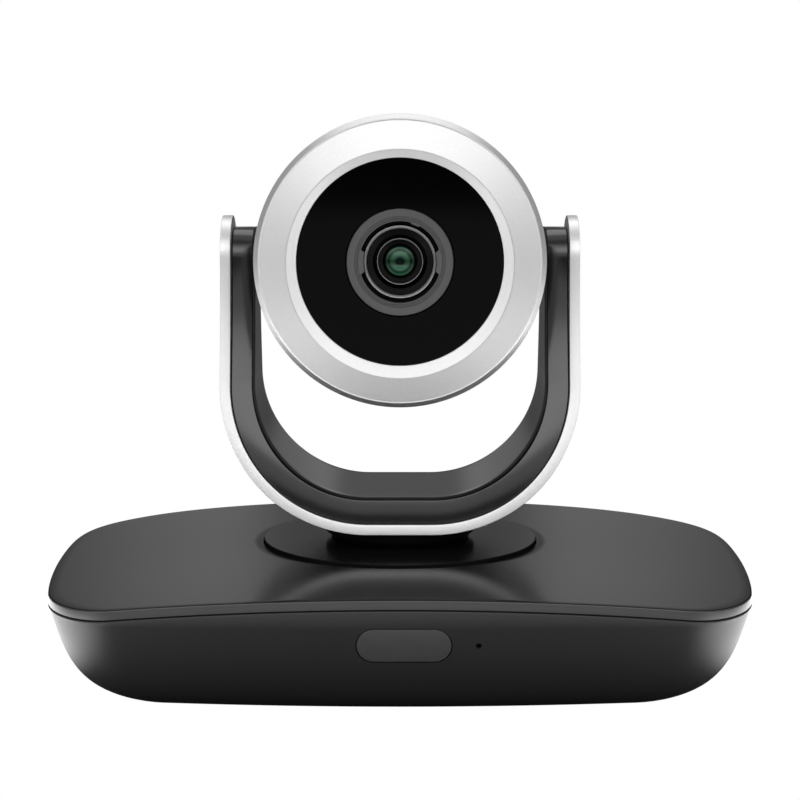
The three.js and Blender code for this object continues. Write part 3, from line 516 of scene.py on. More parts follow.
# %% Base outline
def bezier(a, b, c, d, count):
    """Points on a cubic curve, without its last one."""
    result = []
    for k in range(count):
        t = k / count
        u = 1 - t
        result.append(u ** 3 * a + 3 * u * u * t * b + 3 * u * t * t * c + t ** 3 * d)
    return result


def spaced(points, count):
    """The same open path with count + 1 evenly spaced points."""
    lengths = [0.0]
    for a, b in zip(points, points[1:]):
        lengths.append(lengths[-1] + (b - a).length)
    result = []
    i = 0
    for k in range(count + 1):
        target = lengths[-1] * k / count
        while i < len(points) - 2 and lengths[i + 1] < target:
            i += 1
        share = (target - lengths[i]) / (lengths[i + 1] - lengths[i])
        result.append(points[i].lerp(points[i + 1], share))
    return result


def base_outline(per_half=120):
    front, back, widest = -half_depth, half_depth, 20
    at = lambda from_side, y: Vector((half_width - from_side, y))
    path = [Vector((0, front))]
    path += bezier(at(30, front), at(21, front), at(10, front + 10), at(6, front + 26), 40)
    path += bezier(at(6, front + 26), at(3.5, front + 38), at(0, widest - 30), at(0, widest), 40)
    path += bezier(at(0, widest), at(0, back - 31), at(4, back - 20), at(22, back - 11), 40)
    path += bezier(at(22, back - 11), at(36, back - 4), at(56, back), Vector((0, back)), 40)
    path.append(Vector((0, back)))
    right = spaced(path, per_half)
    left = [Vector((-p.x, p.y)) for p in reversed(right[1:-1])]
    return right + left


outline = base_outline()
print(len(outline), "points round the base")

# %% [markdown]
# The top is crowned: it falls away towards both ends and a little towards the front. The height is
# one formula, so the cover, the parting line and the tub's edge all follow the same curve.

# %% Crown
cover_top = base_high.z
crown_drop = 5.7
front_drop = 1.6
rim_height = 3.0
parting_gap = 0.35


def crown(x, y):
    forward = max(0.0, pan_y - y) / (pan_y + half_depth)
    return cover_top - crown_drop * (x / half_width) ** 2 - front_drop * forward ** 2


def level(inset, height=None, drop=None):
    """The outline drawn in by inset, at a height or at a drop below the crown."""
    scale_x, scale_y = 1 - inset / half_width, 1 - inset / half_depth
    ring = []
    for p in outline:
        x, y = p.x * scale_x, p.y * scale_y
        ring.append(Vector((x, y, height if drop is None else crown(x, y) - drop)))
    return ring


def towards_hole(inset, radius, share, drop):
    """Part of the way from the casing's outline to a circle about the pan axis."""
    ring = []
    for p in level(inset, 0):
        out = Vector((p.x, p.y - pan_y)).normalized()
        x = p.x + (out.x * radius - p.x) * share
        y = p.y + (out.y * radius + pan_y - p.y) * share
        ring.append(Vector((x, y, crown(x, y) - drop)))
    return ring


def ringed(name, rings, material, crease=30, caps=False, second=None, second_rows=0):
    """A skin through rings of the same number of points: joined end to end, or capped.

    The first second_rows rows of faces take the second material."""
    count = len(rings[0])
    points = [p for ring in rings for p in ring]
    faces = []
    rows = len(rings) - 1 if caps else len(rings)
    for i in range(rows):
        low, high = i * count, (i + 1) % len(rings) * count
        for k in range(count):
            n = (k + 1) % count
            faces.append((low + k, low + n, high + n, high + k))
    if caps:
        for start in (0, (len(rings) - 1) * count):
            points.append(sum(points[start : start + count], Vector()) / count)
            hub = len(points) - 1
            faces += [(start + k, start + (k + 1) % count, hub) for k in range(count)]
    return build(name, points, faces, material, crease, second=second, marked=range(second_rows * count))


# %% Cover
disc_radius = high_corner("turntable_disc").x
hole_radius = disc_radius + 0.5
cover_wall = 2.2


def quarter(radius, steps=4):
    """(inset, drop) pairs of a quarter-round edge, from the side to the top."""
    turns = [math.pi / 2 * k / steps for k in range(steps + 1)]
    return [(radius * (1 - math.cos(a)), radius * (1 - math.sin(a))) for a in turns]


def build_cover():
    edge = 0.55
    shares = [k / 22 for k in range(1, 23)]
    rings = [level(0.9, drop=rim_height), level(0.12, drop=rim_height), level(0, drop=rim_height - 0.15)]
    rings += [level(inset, drop=drop) for inset, drop in quarter(edge)]
    rings += [towards_hole(edge, hole_radius + 0.35, share, 0) for share in shares]
    rings += [towards_hole(edge, hole_radius + 0.1, 1, 0.1), towards_hole(edge, hole_radius, 1, 0.35)]
    rings += [towards_hole(2.5, hole_radius, share, cover_wall) for share in (1, 0.75, 0.5, 0.25)]
    skirt = rim_height + 0.8
    rings += [level(2.5, drop=cover_wall), level(2.5, drop=skirt), level(0.9, drop=skirt)]
    # the rim rows take the lighter copy of the charcoal: painted light on the rim
    return ringed("cover_shell", rings, charcoal, second=rim_charcoal, second_rows=5)


cover = stand_in(build_cover(), "base", "charcoal_paint", "base_cover")

# %% [markdown]
# ## Tub
#
# The tub's side is one sweeping curve: nearly upright under the cover's rim, then running in and
# round to the floor. The window, the lamp hole and the socket bay are cut through the wall with
# Boolean modifiers, as the moulding tool's inserts would leave them.

# %% Tub wall
tub_bottom = low_corner("base_tub").z
tub_bottom_inset = 24
end_share = 0.65
end_bow = 0.4
tub_wall = 2.5


def tub_curve(floor, count):
    """(inset, height) down the side wall, from its top edge to the floor."""
    top = cover_top - crown_drop - rim_height
    corners = [Vector(c) for c in ((0, top), (3.5, 19), (6, floor), (tub_bottom_inset, floor))]
    return bezier(*corners, count) + [corners[-1]]


def tub_ring(point, extra):
    """The outline at one point of that curve: front and back taper less, but more at the corners."""
    ring = []
    for p in outline:
        share = end_share + end_bow * (p.x / half_width) ** 2
        x = p.x * (1 - (point.x + extra) / half_width)
        y = p.y * (1 - (point.x * share + extra) / half_depth)
        ring.append(Vector((x, y, point.y)))
    return ring


def wall_inset(z):
    """How far the front wall has run in at its middle."""
    points = tub_curve(tub_bottom, 60)
    for a, b in zip(points, points[1:]):
        if a.y >= z >= b.y:
            return end_share * (a.x + (b.x - a.x) * (a.y - z) / (a.y - b.y))


def build_tub():
    edge_drop = rim_height + parting_gap
    outer = [tub_ring(p, 0) for p in tub_curve(tub_bottom, 36)[1:]]
    inner = [tub_ring(p, tub_wall) for p in tub_curve(tub_bottom + tub_wall, 12)[1:]]
    lip = [level(inset, drop=edge_drop + drop) for inset, drop in quarter(0.4, 3)]
    rings = list(reversed(outer)) + lip + [level(tub_wall, drop=edge_drop)] + inner
    return ringed("tub_shell", rings, tub_plastic, caps=True)


tub = build_tub()

# %% [markdown]
# The window lies in the wall's slope, so its cutter is a pill whose depth runs along the wall's own
# normal.

# %% Pills and cutters
window_low, window_high = low_corner("ir_window"), high_corner("ir_window")
window_z = (window_low.z + window_high.z) / 2
window_x = (window_low.x + window_high.x) / 2
window_half_length = (window_high.x - window_low.x) / 2
window_half_height = 5.3
window_slope = math.atan2(
    wall_inset(window_z - window_half_height) - wall_inset(window_z + window_half_height),
    2 * window_half_height,
)
window_face_y = -half_depth + wall_inset(window_z)


def on_wall(x, depth, height):
    """A point in the wall's slope: depth behind its face, height up it from the window's middle."""
    cos, sin = math.cos(window_slope), math.sin(window_slope)
    return Vector((x, window_face_y + depth * cos - height * sin, window_z + depth * sin + height * cos))


def pill(name, grow, layers, material, arc=24):
    """A solid pill in the wall; layers are (inset, depth) pairs from front to back."""
    run = window_half_length - window_half_height
    rings = []
    for inset, depth in layers:
        radius = window_half_height + grow - inset
        ring = []
        for side in (1, -1):
            for k in range(arc + 1):
                angle = math.pi * (k / arc - 0.5) + (0 if side > 0 else math.pi)
                x = window_x + side * run + radius * math.cos(angle)
                ring.append(on_wall(x, depth, radius * math.sin(angle)))
        rings.append(ring)
    return ringed(name, rings, material, caps=True)


def cut_away(target, cutters):
    """Cuts each cutter out of the target, keeps the result as a plain mesh and shades it."""
    for cutter in cutters:
        trim = target.modifiers.new("trim", "BOOLEAN")
        trim.operation = "DIFFERENCE"
        trim.solver = "EXACT"
        trim.object = cutter
    graph = bpy.context.evaluated_depsgraph_get()
    mesh = bpy.data.meshes.new_from_object(target.evaluated_get(graph))
    target.modifiers.clear()
    target.data = mesh
    for cutter in cutters:
        bpy.data.objects.remove(cutter)
    shade(mesh)
    return target


def block(name, low, high, material, edge=0.0):
    """A box between two corners, with its edges bevelled when edge is given."""
    bm = bmesh.new()
    bmesh.ops.create_cube(bm, size=1)
    for v in bm.verts:
        v.co = Vector(low[i] + (high[i] - low[i]) * (v.co[i] + 0.5) for i in range(3)) * MM
    if edge:
        bmesh.ops.bevel(bm, geom=bm.edges[:], offset=edge * MM, segments=3, profile=0.5, affect="EDGES")
    mesh = bpy.data.meshes.new(name)
    bm.to_mesh(mesh)
    bm.free()
    shade(mesh, 35)
    mesh.materials.append(material)
    piece = bpy.data.objects.new(name, mesh)
    bpy.context.scene.collection.objects.link(piece)
    return piece


# %% Cut the tub
def rod(name, centre, radius, z0, z1, material):
    profile = [(0, z0), (radius, z0), (radius, z1), (0, z1)]
    return turned(name, profile, material, "Z", centre, 32, closed=False)


lamp_x = middle("status_lamp").x
lamp_hole = turned(
    "lamp_cutter", [(0, -6), (0.87, -6), (0.87, 12), (0, 12)], tub_plastic, "Y", (0, 0, 0), 24, closed=False
)
for v in lamp_hole.data.vertices:
    v.co = on_wall(lamp_x + v.co.x / MM, v.co.y / MM, v.co.z / MM) * MM
panel_back = low_corner("rear_panel").y
bay_half, bay_low, bay_high = 52, 11, 28
bay_cutter = block(
    "bay_cutter", (-bay_half, panel_back, bay_low), (bay_half, half_depth + 5, bay_high), tub_plastic
)
cutters = [pill("window_cutter", 0.28, [(0, -4), (0, 9)], tub_plastic), lamp_hole, bay_cutter]
for i in range(1, 5):
    at = middle(f"cover_screw_{i}")
    cutters.append(rod("screw_cutter", (at.x, at.y, 0), 3.0, -1, 2.9, tub_plastic))
insert_at = middle("tripod_insert")
cutters.append(rod("insert_cutter", (insert_at.x, insert_at.y, 0), 5.2, -1, 6, tub_plastic))
stand_in(cut_away(tub, cutters), "base", "dark_plastic", "base_tub")

# %% Window
window = pill(
    "window_plate", 0.0, [(0.35, 0.12), (0.1, 0.18), (0, 0.4), (0, 2.2)], window_black
)
stand_in(window, "base", "black_gloss", "ir_window")

# %% [markdown]
# ## Turntable and neck
#
# Both are turned. The disc lies flush in the cover and shows only a fine dark gap, so its edge gets
# a small round that catches the light.

# %% Disc and neck
disc_low, disc_high = low_corner("turntable_disc"), high_corner("turntable_disc")
shaft_bore, hub_wall, disc_plate = 7.3, 5, 3
disc_profile = eased(
    [
        (shaft_bore, disc_high.z),
        (disc_radius, disc_high.z, 0.15),
        (disc_radius, disc_high.z - disc_plate),
        (shaft_bore + hub_wall, disc_high.z - disc_plate),
        (shaft_bore + hub_wall, disc_low.z),
        (shaft_bore, disc_low.z),
    ]
)
disc = turned("turntable_plate", disc_profile, charcoal, "Z", (0, pan_y, 0), 192)
stand_in(disc, "turntable", "charcoal_paint", "turntable_disc")

neck_low, neck_high = low_corner("neck"), high_corner("neck")
neck_radius = neck_high.x
neck_profile = eased(
    [
        (shaft_bore, neck_low.z),
        (neck_radius, neck_low.z, 1.8),
        (neck_radius, neck_high.z, 0.3),
        (shaft_bore, neck_high.z),
    ]
)
neck = turned("neck_collar", neck_profile, neck_black, "Z", (0, pan_y, 0), 128)
stand_in(neck, "turntable", "black_matte", "neck")

# %% [markdown]
# ## Yoke
#
# The yoke's three layers are straps bent over the same U. Each one is drawn flat, as (distance
# along the U, distance across it), with the thickness as a third number. The flat strap has round
# ends about the tilt axis and a fillet all round its edges. Bending it over the U then keeps every
# fillet even. The straps' edges slant a little inwards, so the floor of the U looks up and the arms
# look towards the head.

# %% The bent path
class BentPath:
    """An upright U: straight arm, round corner, floor, round corner, straight arm."""

    def __init__(self, half, floor_z, corner, top_z):
        self.half, self.floor_z, self.corner, self.top_z = half, floor_z, corner, top_z
        self.arm = top_z - floor_z - corner
        self.bend = corner * math.pi / 2
        self.flat = 2 * (half - corner)
        self.length = 2 * self.arm + 2 * self.bend + self.flat

    def at(self, s):
        """The point (x, z) at distance s from the left tip, and the inward normal."""
        mirror = s > self.length / 2
        if mirror:
            s = self.length - s
        if s < self.arm:
            point, inward = (-self.half, self.top_z - s), (1, 0)
        elif s < self.arm + self.bend:
            angle = (s - self.arm) / self.corner
            cos, sin = math.cos(angle), math.sin(angle)
            centre_x = -self.half + self.corner
            point = (centre_x - self.corner * cos, self.floor_z + self.corner * (1 - sin))
            inward = (cos, sin)
        else:
            point, inward = (-self.half + self.corner + s - self.arm - self.bend, self.floor_z), (0, 1)
        if mirror:
            point, inward = (-point[0], point[1]), (-inward[0], inward[1])
        return point, inward


# %% [markdown]
# Half the strap's width at each height: deep over the turntable, narrowing up the arm, and ending
# in a half circle. The arm's curve is the same bezier as in the engineering model.

# %% Strap widths
yoke_bottom = low_corner("yoke_band").z
arm_foot_top = yoke_bottom + 9


def arm_half_depth(z, foot, top_radius):
    if z <= arm_foot_top:
        return foot
    if z >= tilt_z:
        return math.sqrt(max(0.0, top_radius ** 2 - (z - tilt_z) ** 2))
    low, high = 0.0, 1.0
    for _ in range(24):
        t = (low + high) / 2
        u = 1 - t
        height = (
            u ** 3 * arm_foot_top
            + 3 * u * u * t * (arm_foot_top + 30)
            + 3 * u * t * t * (tilt_z - 30)
            + t ** 3 * tilt_z
        )
        low, high = (t, high) if height < z else (low, t)
    return u ** 3 * foot + 3 * u * u * t * (foot - 2) + 3 * u * t * t * (top_radius + 1) + t ** 3 * top_radius


# %% Bent strap
def strap(
    name, path, wall, foot, top_radius, material, edge=0.5, floor_wall=None, edge_material=None, slant=0.0
):
    """A strap bent over the path; slant draws its inner face in, so that its edge looks inwards."""
    across = 12
    floor_wall = floor_wall or wall
    stations = []
    tip = 26
    for k in range(tip):
        stations.append(top_radius * (1 - math.cos(math.pi / 2 * k / tip)))
    straight = path.arm - top_radius
    stations += [top_radius + straight * k / 30 for k in range(30)]
    stations += [path.arm + path.bend * k / 48 for k in range(48)]
    stations += [path.arm + path.bend + path.flat / 2 * k / 6 for k in range(7)]
    stations += [path.length - s for s in reversed(stations[:-1])]
    edge_line = []
    for s in stations:
        (_, z), _ = path.at(s)
        edge_line.append(Vector((s, arm_half_depth(z, foot, top_radius))))
    normals = []
    last = len(edge_line) - 1
    for i, p in enumerate(edge_line):
        along = edge_line[min(i + 1, last)] - edge_line[max(i - 1, 0)]
        normals.append(Vector((-along.y, along.x)).normalized())
    normals[0], normals[-1] = Vector((-1, 0)), Vector((1, 0))

    def thickness(s):
        """The floor may be thicker than the arms; it grows through the bend."""
        share = min(1, max(0, (min(s, path.length - s) - path.arm) / path.bend))
        return wall + (floor_wall - wall) * share

    def bent(s, y, w):
        s_on = min(max(s, 0), path.length)
        (x, z), (nx, nz) = path.at(s_on)
        return Vector((x + nx * w, y + pan_y, z + nz * w))

    turns = [math.pi / 2 * k / 4 for k in range(5)]
    lips = [(edge * (1 - math.sin(a)), edge * (1 - math.cos(a))) for a in turns]
    over_edge = [(i, d, False) for i, d in lips] + [(i, d, True) for i, d in reversed(lips)]
    points, faces = [], []

    def edge_point(j, inset, depth, far, side):
        s = edge_line[j].x
        w = thickness(s) - depth if far else depth
        p = edge_line[j] - normals[j] * (inset + slant * w * normals[j].y)
        return bent(p.x, side * max(p.y, 0), w)

    def add_grid(grid):
        start, width = len(points), len(grid[0])
        for line in grid:
            points.extend(line)
        for a in range(len(grid) - 1):
            for b in range(width - 1):
                i = start + a * width + b
                faces.append((i, i + 1, i + 1 + width, i + width))

    for side in (1, -1):
        grid = []
        for inset, depth, far in over_edge:
            grid.append([edge_point(j, inset, depth, far, side) for j in range(len(stations))])
        add_grid(grid)
    edge_faces = range(len(faces)) if edge_material else ()
    for far in (0, 1):
        grid = []
        for k in range(across + 1):
            share = 1 - 2 * k / across
            line = []
            for j in range(len(stations)):
                w = thickness(edge_line[j].x) if far else 0
                p = edge_line[j] - normals[j] * (edge + slant * w * normals[j].y)
                line.append(bent(p.x, max(p.y, 0) * share, w))
            grid.append(line)
        add_grid(grid)
    return build(name, points, faces, material, 35, 2e-6, edge_material, edge_faces)


# %% Yoke layers
band_half = high_corner("yoke_band").x
band_wall = 3.4
frame_half = high_corner("yoke_frame").x
frame_floor = low_corner("yoke_frame").z
inner_half = high_corner("yoke_inner_cover").x
inner_floor = low_corner("yoke_inner_cover").z
yoke_corner = 49.0
band_radius = high_corner("yoke_band").z - tilt_z
frame_radius = high_corner("yoke_frame").z - tilt_z

band_path = BentPath(band_half, yoke_bottom, yoke_corner, tilt_z + band_radius)
band = strap("silver_band", band_path, band_wall, 27.0, band_radius, silver, edge=0.22, slant=0.2)
stand_in(band, "turntable", "silver_paint", "yoke_band")

frame_path = BentPath(frame_half, frame_floor, yoke_corner - (band_half - frame_half), tilt_z + frame_radius)
frame_wall = frame_half - inner_half - 0.05
frame_floor_wall = inner_floor - frame_floor - 0.05
yoke_frame = strap(
    "yoke_casting", frame_path, frame_wall, 26.5, frame_radius, yoke_grey,
    edge=0.3, floor_wall=frame_floor_wall, slant=0.18,
)
stand_in(yoke_frame, "turntable", "yoke_grey", "yoke_frame")

inner_path = BentPath(inner_half, inner_floor, yoke_corner - (band_half - inner_half), tilt_z + frame_radius)
# The lining's edge faces take the near-black finish: painted shade in the groove beside the casting.
inner = strap(
    "yoke_lining", inner_path, 0.8, 24.9, frame_radius - 0.3, lining_grey, 0.12, edge_material=groove_shade
)
stand_in(inner, "turntable", "yoke_grey", "yoke_inner_cover")

# %% [markdown]
# ## Head
#
# The head is turned about the lens axis. Its front is a wide cone-shaped ring with a crisp edge and
# a chamfer outside it, then a polished step down to the black panel.

# %% Ring, bevel and panel
ring_radius = high_corner("front_ring").x
ring_front = low_corner("front_ring").y - pan_y
panel_front = low_corner("front_panel").y - pan_y
panel_radius = high_corner("front_panel").x
bevel_outer = 36.4
bevel_inner = panel_radius - 0.6
ring_profile = eased(
    [
        (ring_radius - 1.6, -20),
        (ring_radius, -20, 0.4),
        (ring_radius, -30.2, 0.5),
        (ring_radius - 1.6, -33.1, 0.12),
        (ring_radius - 1.85, -33.3, 0.1),
        (ring_radius - 2.2, -33.1),
        (bevel_outer, ring_front, 0.2),
        (bevel_outer, ring_front + 1.6),
        (ring_radius - 2.6, -31.4),
        (ring_radius - 1.6, -29.2),
    ]
)
front_ring = turned("front_ring_shell", ring_profile, silver, "Y", head_origin, 256)
bevel_profile = eased(
    [
        (bevel_outer - 0.02, ring_front + 0.24),
        (bevel_inner, panel_front - 0.1, 0.15),
        (bevel_inner, panel_front + 3.4),
        (44.0, panel_front + 3.4),
        (44.0, panel_front + 2.1),
        (bevel_outer - 0.02, panel_front + 2.1),
    ]
)
bevel = turned("front_bevel", bevel_profile, bevel_silver, "Y", head_origin, 256)

# %% [markdown]
# The ring's inner edge isn't quite concentric with the panel: it sits a little low, so the bevel
# is a narrow crescent on top and a broad one below. Both pieces take the same small shift, which
# fades to nothing at the panel and at the rim.

# %% Crescent
crescent = 0.66


def shift_edge(piece, from_radius, to_radius):
    """Lowers the points near the bevel's outer edge, fading out towards the two radii."""
    for v in piece.data.vertices:
        x, z = v.co.x / MM, v.co.z / MM - tilt_z
        radius = math.hypot(x, z)
        if radius < bevel_outer:
            share = (radius - from_radius) / (bevel_outer - from_radius)
        else:
            share = (to_radius - radius) / (to_radius - bevel_outer)
        v.co.z -= crescent * MM * min(1, max(0, share))


shift_edge(front_ring, bevel_inner + 0.2, ring_radius - 1.7)
shift_edge(bevel, bevel_inner + 0.2, ring_radius - 1.7)
stand_in(front_ring, "head", "silver_paint", "front_ring")
stand_in(bevel, "head", "silver_paint", "front_bezel")

panel_profile = eased(
    [
        (17.45, panel_front, 0.1),
        (bevel_inner - 0.1, panel_front, 0.1),
        (bevel_inner - 0.1, panel_front + 1.8),
        (17.45, panel_front + 1.8),
    ]
)
panel = turned("lens_panel", panel_profile, black_gloss, "Y", head_origin, 256)
stand_in(panel, "head", "black_gloss", "front_panel")

# %% Head shells
shell_radius = high_corner("head_front_shell").x
shell_wall = 2.2
front_shell_profile = eased(
    [
        (shell_radius - shell_wall, -19.7),
        (shell_radius, -19.7, 0.3),
        (shell_radius, 12, 0.35),
        (shell_radius - shell_wall, 12),
    ]
)
front_shell = turned("front_shell", front_shell_profile, yoke_grey, "Y", head_origin, 160)
reach, bush_hole = shell_radius + 5, 8.4
trunnion = [(0, -reach), (bush_hole, -reach), (bush_hole, reach), (0, reach)]
trunnion_cutter = turned("trunnion_cutter", trunnion, yoke_grey, "X", head_origin, 48, closed=False)
cut_away(front_shell, [trunnion_cutter])
stand_in(front_shell, "head", "yoke_grey", "head_front_shell")


def rear_curve(radius, back, count):
    a, b = Vector((radius, 18)), Vector((radius, 32))
    c, d = Vector((radius * 0.62, back)), Vector((0, back))
    return [tuple(p) for p in bezier(a, b, c, d, count)] + [(0, back)]


shell_inside, seam, back = shell_radius - shell_wall, 12.3, 45
rear_profile = [(0, back - shell_wall)]
rear_profile += list(reversed(rear_curve(shell_inside, back - shell_wall, 16)[:-1]))
rear_profile += [(shell_inside, seam)]
seam_corners = [(shell_inside, seam), (shell_radius, seam, 0.35), (shell_radius, 18)]
rear_profile += eased(seam_corners, closed=False)[1:-1]
rear_profile += rear_curve(shell_radius, back, 28)
rear_shell = turned("rear_shell", rear_profile, yoke_grey, "Y", head_origin, 160, closed=False)
stand_in(rear_shell, "head", "yoke_grey", "head_rear_shell")

# %% [markdown]
# ## Lens
#
# The lens is a nest of rings. The grey outer ring has fine grooves and two broad tabs at its sides
# that reach in over the barrel. Its bore is therefore not round, and the profile is worked out for
# each direction.

# %% Lens ring
lens_front = low_corner("lens_ring").y - pan_y


def lens_ring_bore(angle):
    """The grey ring's inner radius: 13.1 mm, with a tab on each side and a small bump."""
    from_side = abs(math.degrees(math.atan2(math.sin(angle), abs(math.cos(angle)))))
    tab = min(1, max(0, (17.5 - from_side) / 2.5))
    from_bump = abs(math.degrees(angle) - 68)
    bump = min(1, max(0, (7.5 - from_bump) / 3))
    return 13.1 - 1.35 * tab - 0.45 * bump


def build_lens_ring(segments=288):
    grooves = [14.55, 14.05, 13.6]
    rim = [(17.2, lens_front + 10), (17.2, lens_front + 0.2), (17.0, lens_front)]
    for radius in grooves:
        rim += [(radius + 0.12, lens_front), (radius, lens_front + 0.16), (radius - 0.12, lens_front)]
    points, faces = [], []
    rows = len(rim) + 3
    for k in range(segments):
        angle = 2 * math.pi * k / segments
        bore = lens_ring_bore(angle)
        line = rim + [(bore + 0.15, lens_front), (bore, lens_front + 0.15), (bore, lens_front + 3)]
        for radius, along in line:
            points.append(head_origin + Vector((radius * math.cos(angle), along, radius * math.sin(angle))))
    for k in range(segments):
        n = (k + 1) % segments
        for i in range(rows):
            j = (i + 1) % rows
            faces.append((k * rows + i, n * rows + i, n * rows + j, k * rows + j))
    return build("lens_ring_face", points, faces, lens_grey, crease=20)


lens_ring = build_lens_ring()
stand_in(lens_ring, "head", "lens_grey", "lens_ring")

# %% [markdown]
# Inside it the barrel is black, then comes a thin light retaining ring, and two dark steps lead in
# to the glass. Depths are counted from the front of the grey ring.

# %% Rings inside the lens
def lens_step(name, corners, material, slot, *nodes):
    """A turned ring; corners are (radius, depth behind the lens ring's front, rounding)."""
    profile = eased([(c[0], lens_front + c[1], *c[2:]) for c in corners])
    piece = turned(name, profile, material, "Y", head_origin, 160)
    return stand_in(piece, "head", slot, *nodes)


tube = [(12.1, 3.4), (13.35, 3.4), (13.35, 10), (12.1, 10)]
retaining = [(10.75, 2.0, 0.25), (11.65, 2.0, 0.3), (11.65, 4.0), (10.75, 4.0)]
outer_cone = [(10.7, 2.7, 0.1), (8.75, 4.0, 0.1), (8.75, 5.2), (10.7, 5.2)]
thin_tube = [(7.15, 5.0, 0.1), (7.42, 5.0, 0.1), (7.42, 8.6), (7.15, 8.6)]
inner_cone = [(7.1, 5.4, 0.1), (5.6, 6.4, 0.1), (5.6, 8.0), (7.1, 8.0)]
lens_step("barrel_tube", tube, neck_black, "black_matte", "lens_barrel")
lens_step("retaining_ring", retaining, lens_light, "lens_grey", "lens_retaining_ring")
lens_step("dark_cone", outer_cone, cone_black, "black_matte")
lens_step("inner_barrel", thin_tube, lens_light, "lens_grey")
lens_step("inner_cone", inner_cone, cone_black, "black_matte")

# %% [markdown]
# The front glass has a coating, and it looks black with green arcs, which are the lamps mirrored in the
# coating. Here those are painted reflections: the glass's colour is a set of green rings about the lens axis,
# brighter above and below the axis than beside it.

# %% Coated glass with painted reflections
def coated_glass_painted_reflections():
    material = bpy.data.materials.new("coated_glass_painted_reflections")
    tree, add = new_nodes(material)
    link = tree.links.new
    where = add("ShaderNodeTexCoord")
    centred = add("ShaderNodeMapping")
    centred.inputs["Location"].default_value = -head_origin * MM
    link(where.outputs["Object"], centred.inputs["Vector"])
    split = add("ShaderNodeSeparateXYZ")
    link(centred.outputs[0], split.inputs[0])
    flat = add("ShaderNodeCombineXYZ")
    link(split.outputs["X"], flat.inputs["X"])
    link(split.outputs["Z"], flat.inputs["Z"])
    radius = add("ShaderNodeVectorMath")
    radius.operation = "LENGTH"
    link(flat.outputs[0], radius.inputs[0])
    share = add("ShaderNodeMapRange")
    share.inputs["From Max"].default_value = 5.0 * MM
    link(radius.outputs["Value"], share.inputs["Value"])
    # painted reflections: green rings in the glass's colour stand in for the lamps mirrored in the coating
    rings = add("ShaderNodeValToRGB")
    ramp = rings.color_ramp
    ramp.elements[0].position = 0.0
    ramp.elements[0].color = (0.02, 0.08, 0.08, 1)
    ramp.elements[1].position = 1.0
    ramp.elements[1].color = grey(0.002)
    stops = (
        (0.10, (0.004, 0.010, 0.010, 1)),
        (0.26, (0.006, 0.020, 0.014, 1)),
        (0.36, (0.035, 0.13, 0.07, 1)),
        (0.56, (0.05, 0.20, 0.10, 1)),
        (0.66, (0.012, 0.045, 0.025, 1)),
        (0.80, (0.006, 0.03, 0.015, 1)),
        (0.86, (0.04, 0.17, 0.09, 1)),
        (0.93, (0.004, 0.010, 0.006, 1)),
    )
    for position, colour in stops:
        ramp.elements.new(position).color = colour
    link(share.outputs[0], rings.inputs[0])
    # the painted reflection is strongest above and below the axis, weakest beside it
    upright = add("ShaderNodeMath")
    upright.operation = "ABSOLUTE"
    link(split.outputs["Z"], upright.inputs[0])
    arcs = add("ShaderNodeMapRange")
    arcs.inputs["From Max"].default_value = 3.6 * MM
    arcs.inputs["To Min"].default_value = 0.25
    arcs.inputs["To Max"].default_value = 1.0
    link(upright.outputs[0], arcs.inputs["Value"])
    tint = add("ShaderNodeVectorMath")
    tint.operation = "SCALE"
    link(rings.outputs["Color"], tint.inputs[0])
    link(arcs.outputs[0], tint.inputs["Scale"])
    shader = add("ShaderNodeBsdfPrincipled", Roughness=0.12, IOR=1.25, Coat_Weight=0.15, Coat_Roughness=0.03)
    link(tint.outputs[0], shader.inputs["Base Color"])
    out = add("ShaderNodeOutputMaterial")
    link(shader.outputs[0], out.inputs["Surface"])
    return material


coated_painted_reflections = coated_glass_painted_reflections()
dome = [(0, 5.7), (1.6, 5.8), (3.2, 6.15), (4.5, 6.7), (5.5, 7.3), (5.5, 8.2), (0, 8.2)]
lens_dome = [(radius, lens_front + depth) for radius, depth in dome]
lens_glass = turned("front_glass", lens_dome, coated_painted_reflections, "Y", head_origin, 96, crease=50, closed=False)
stand_in(lens_glass, "head", "lens_glass", "front_lens")

# %% [markdown]
# ## What repeats
#
# The feet, the cover's screws and the network socket's contacts are each modelled once and set out
# with Geometry Nodes: the tree stands the pattern on every point, makes the copies real and gives
# them their material. The result is kept as a plain mesh.

# %% Repeat tree
def build_repeat_tree():
    tree = bpy.data.node_groups.new("repeat", "GeometryNodeTree")
    sockets = tree.interface
    inputs = {"Places": "Geometry", "Pattern": "Object", "Size": "Float", "Finish": "Material"}
    for name, kind in inputs.items():
        sockets.new_socket(name, in_out="INPUT", socket_type=f"NodeSocket{kind}")
    sockets.new_socket("Copies", in_out="OUTPUT", socket_type="NodeSocketGeometry")
    nodes, link = tree.nodes, tree.links.new
    given, result = nodes.new("NodeGroupInput"), nodes.new("NodeGroupOutput")
    pattern = nodes.new("GeometryNodeObjectInfo")
    stand = nodes.new("GeometryNodeInstanceOnPoints")
    real = nodes.new("GeometryNodeRealizeInstances")
    coat = nodes.new("GeometryNodeSetMaterial")
    link(given.outputs["Pattern"], pattern.inputs["Object"])
    link(given.outputs["Places"], stand.inputs["Points"])
    link(pattern.outputs["Geometry"], stand.inputs["Instance"])
    link(given.outputs["Size"], stand.inputs["Scale"])
    link(stand.outputs[0], real.inputs[0])
    link(real.outputs[0], coat.inputs["Geometry"])
    link(given.outputs["Finish"], coat.inputs["Material"])
    link(coat.outputs[0], result.inputs["Copies"])
    return tree


repeat_tree = build_repeat_tree()


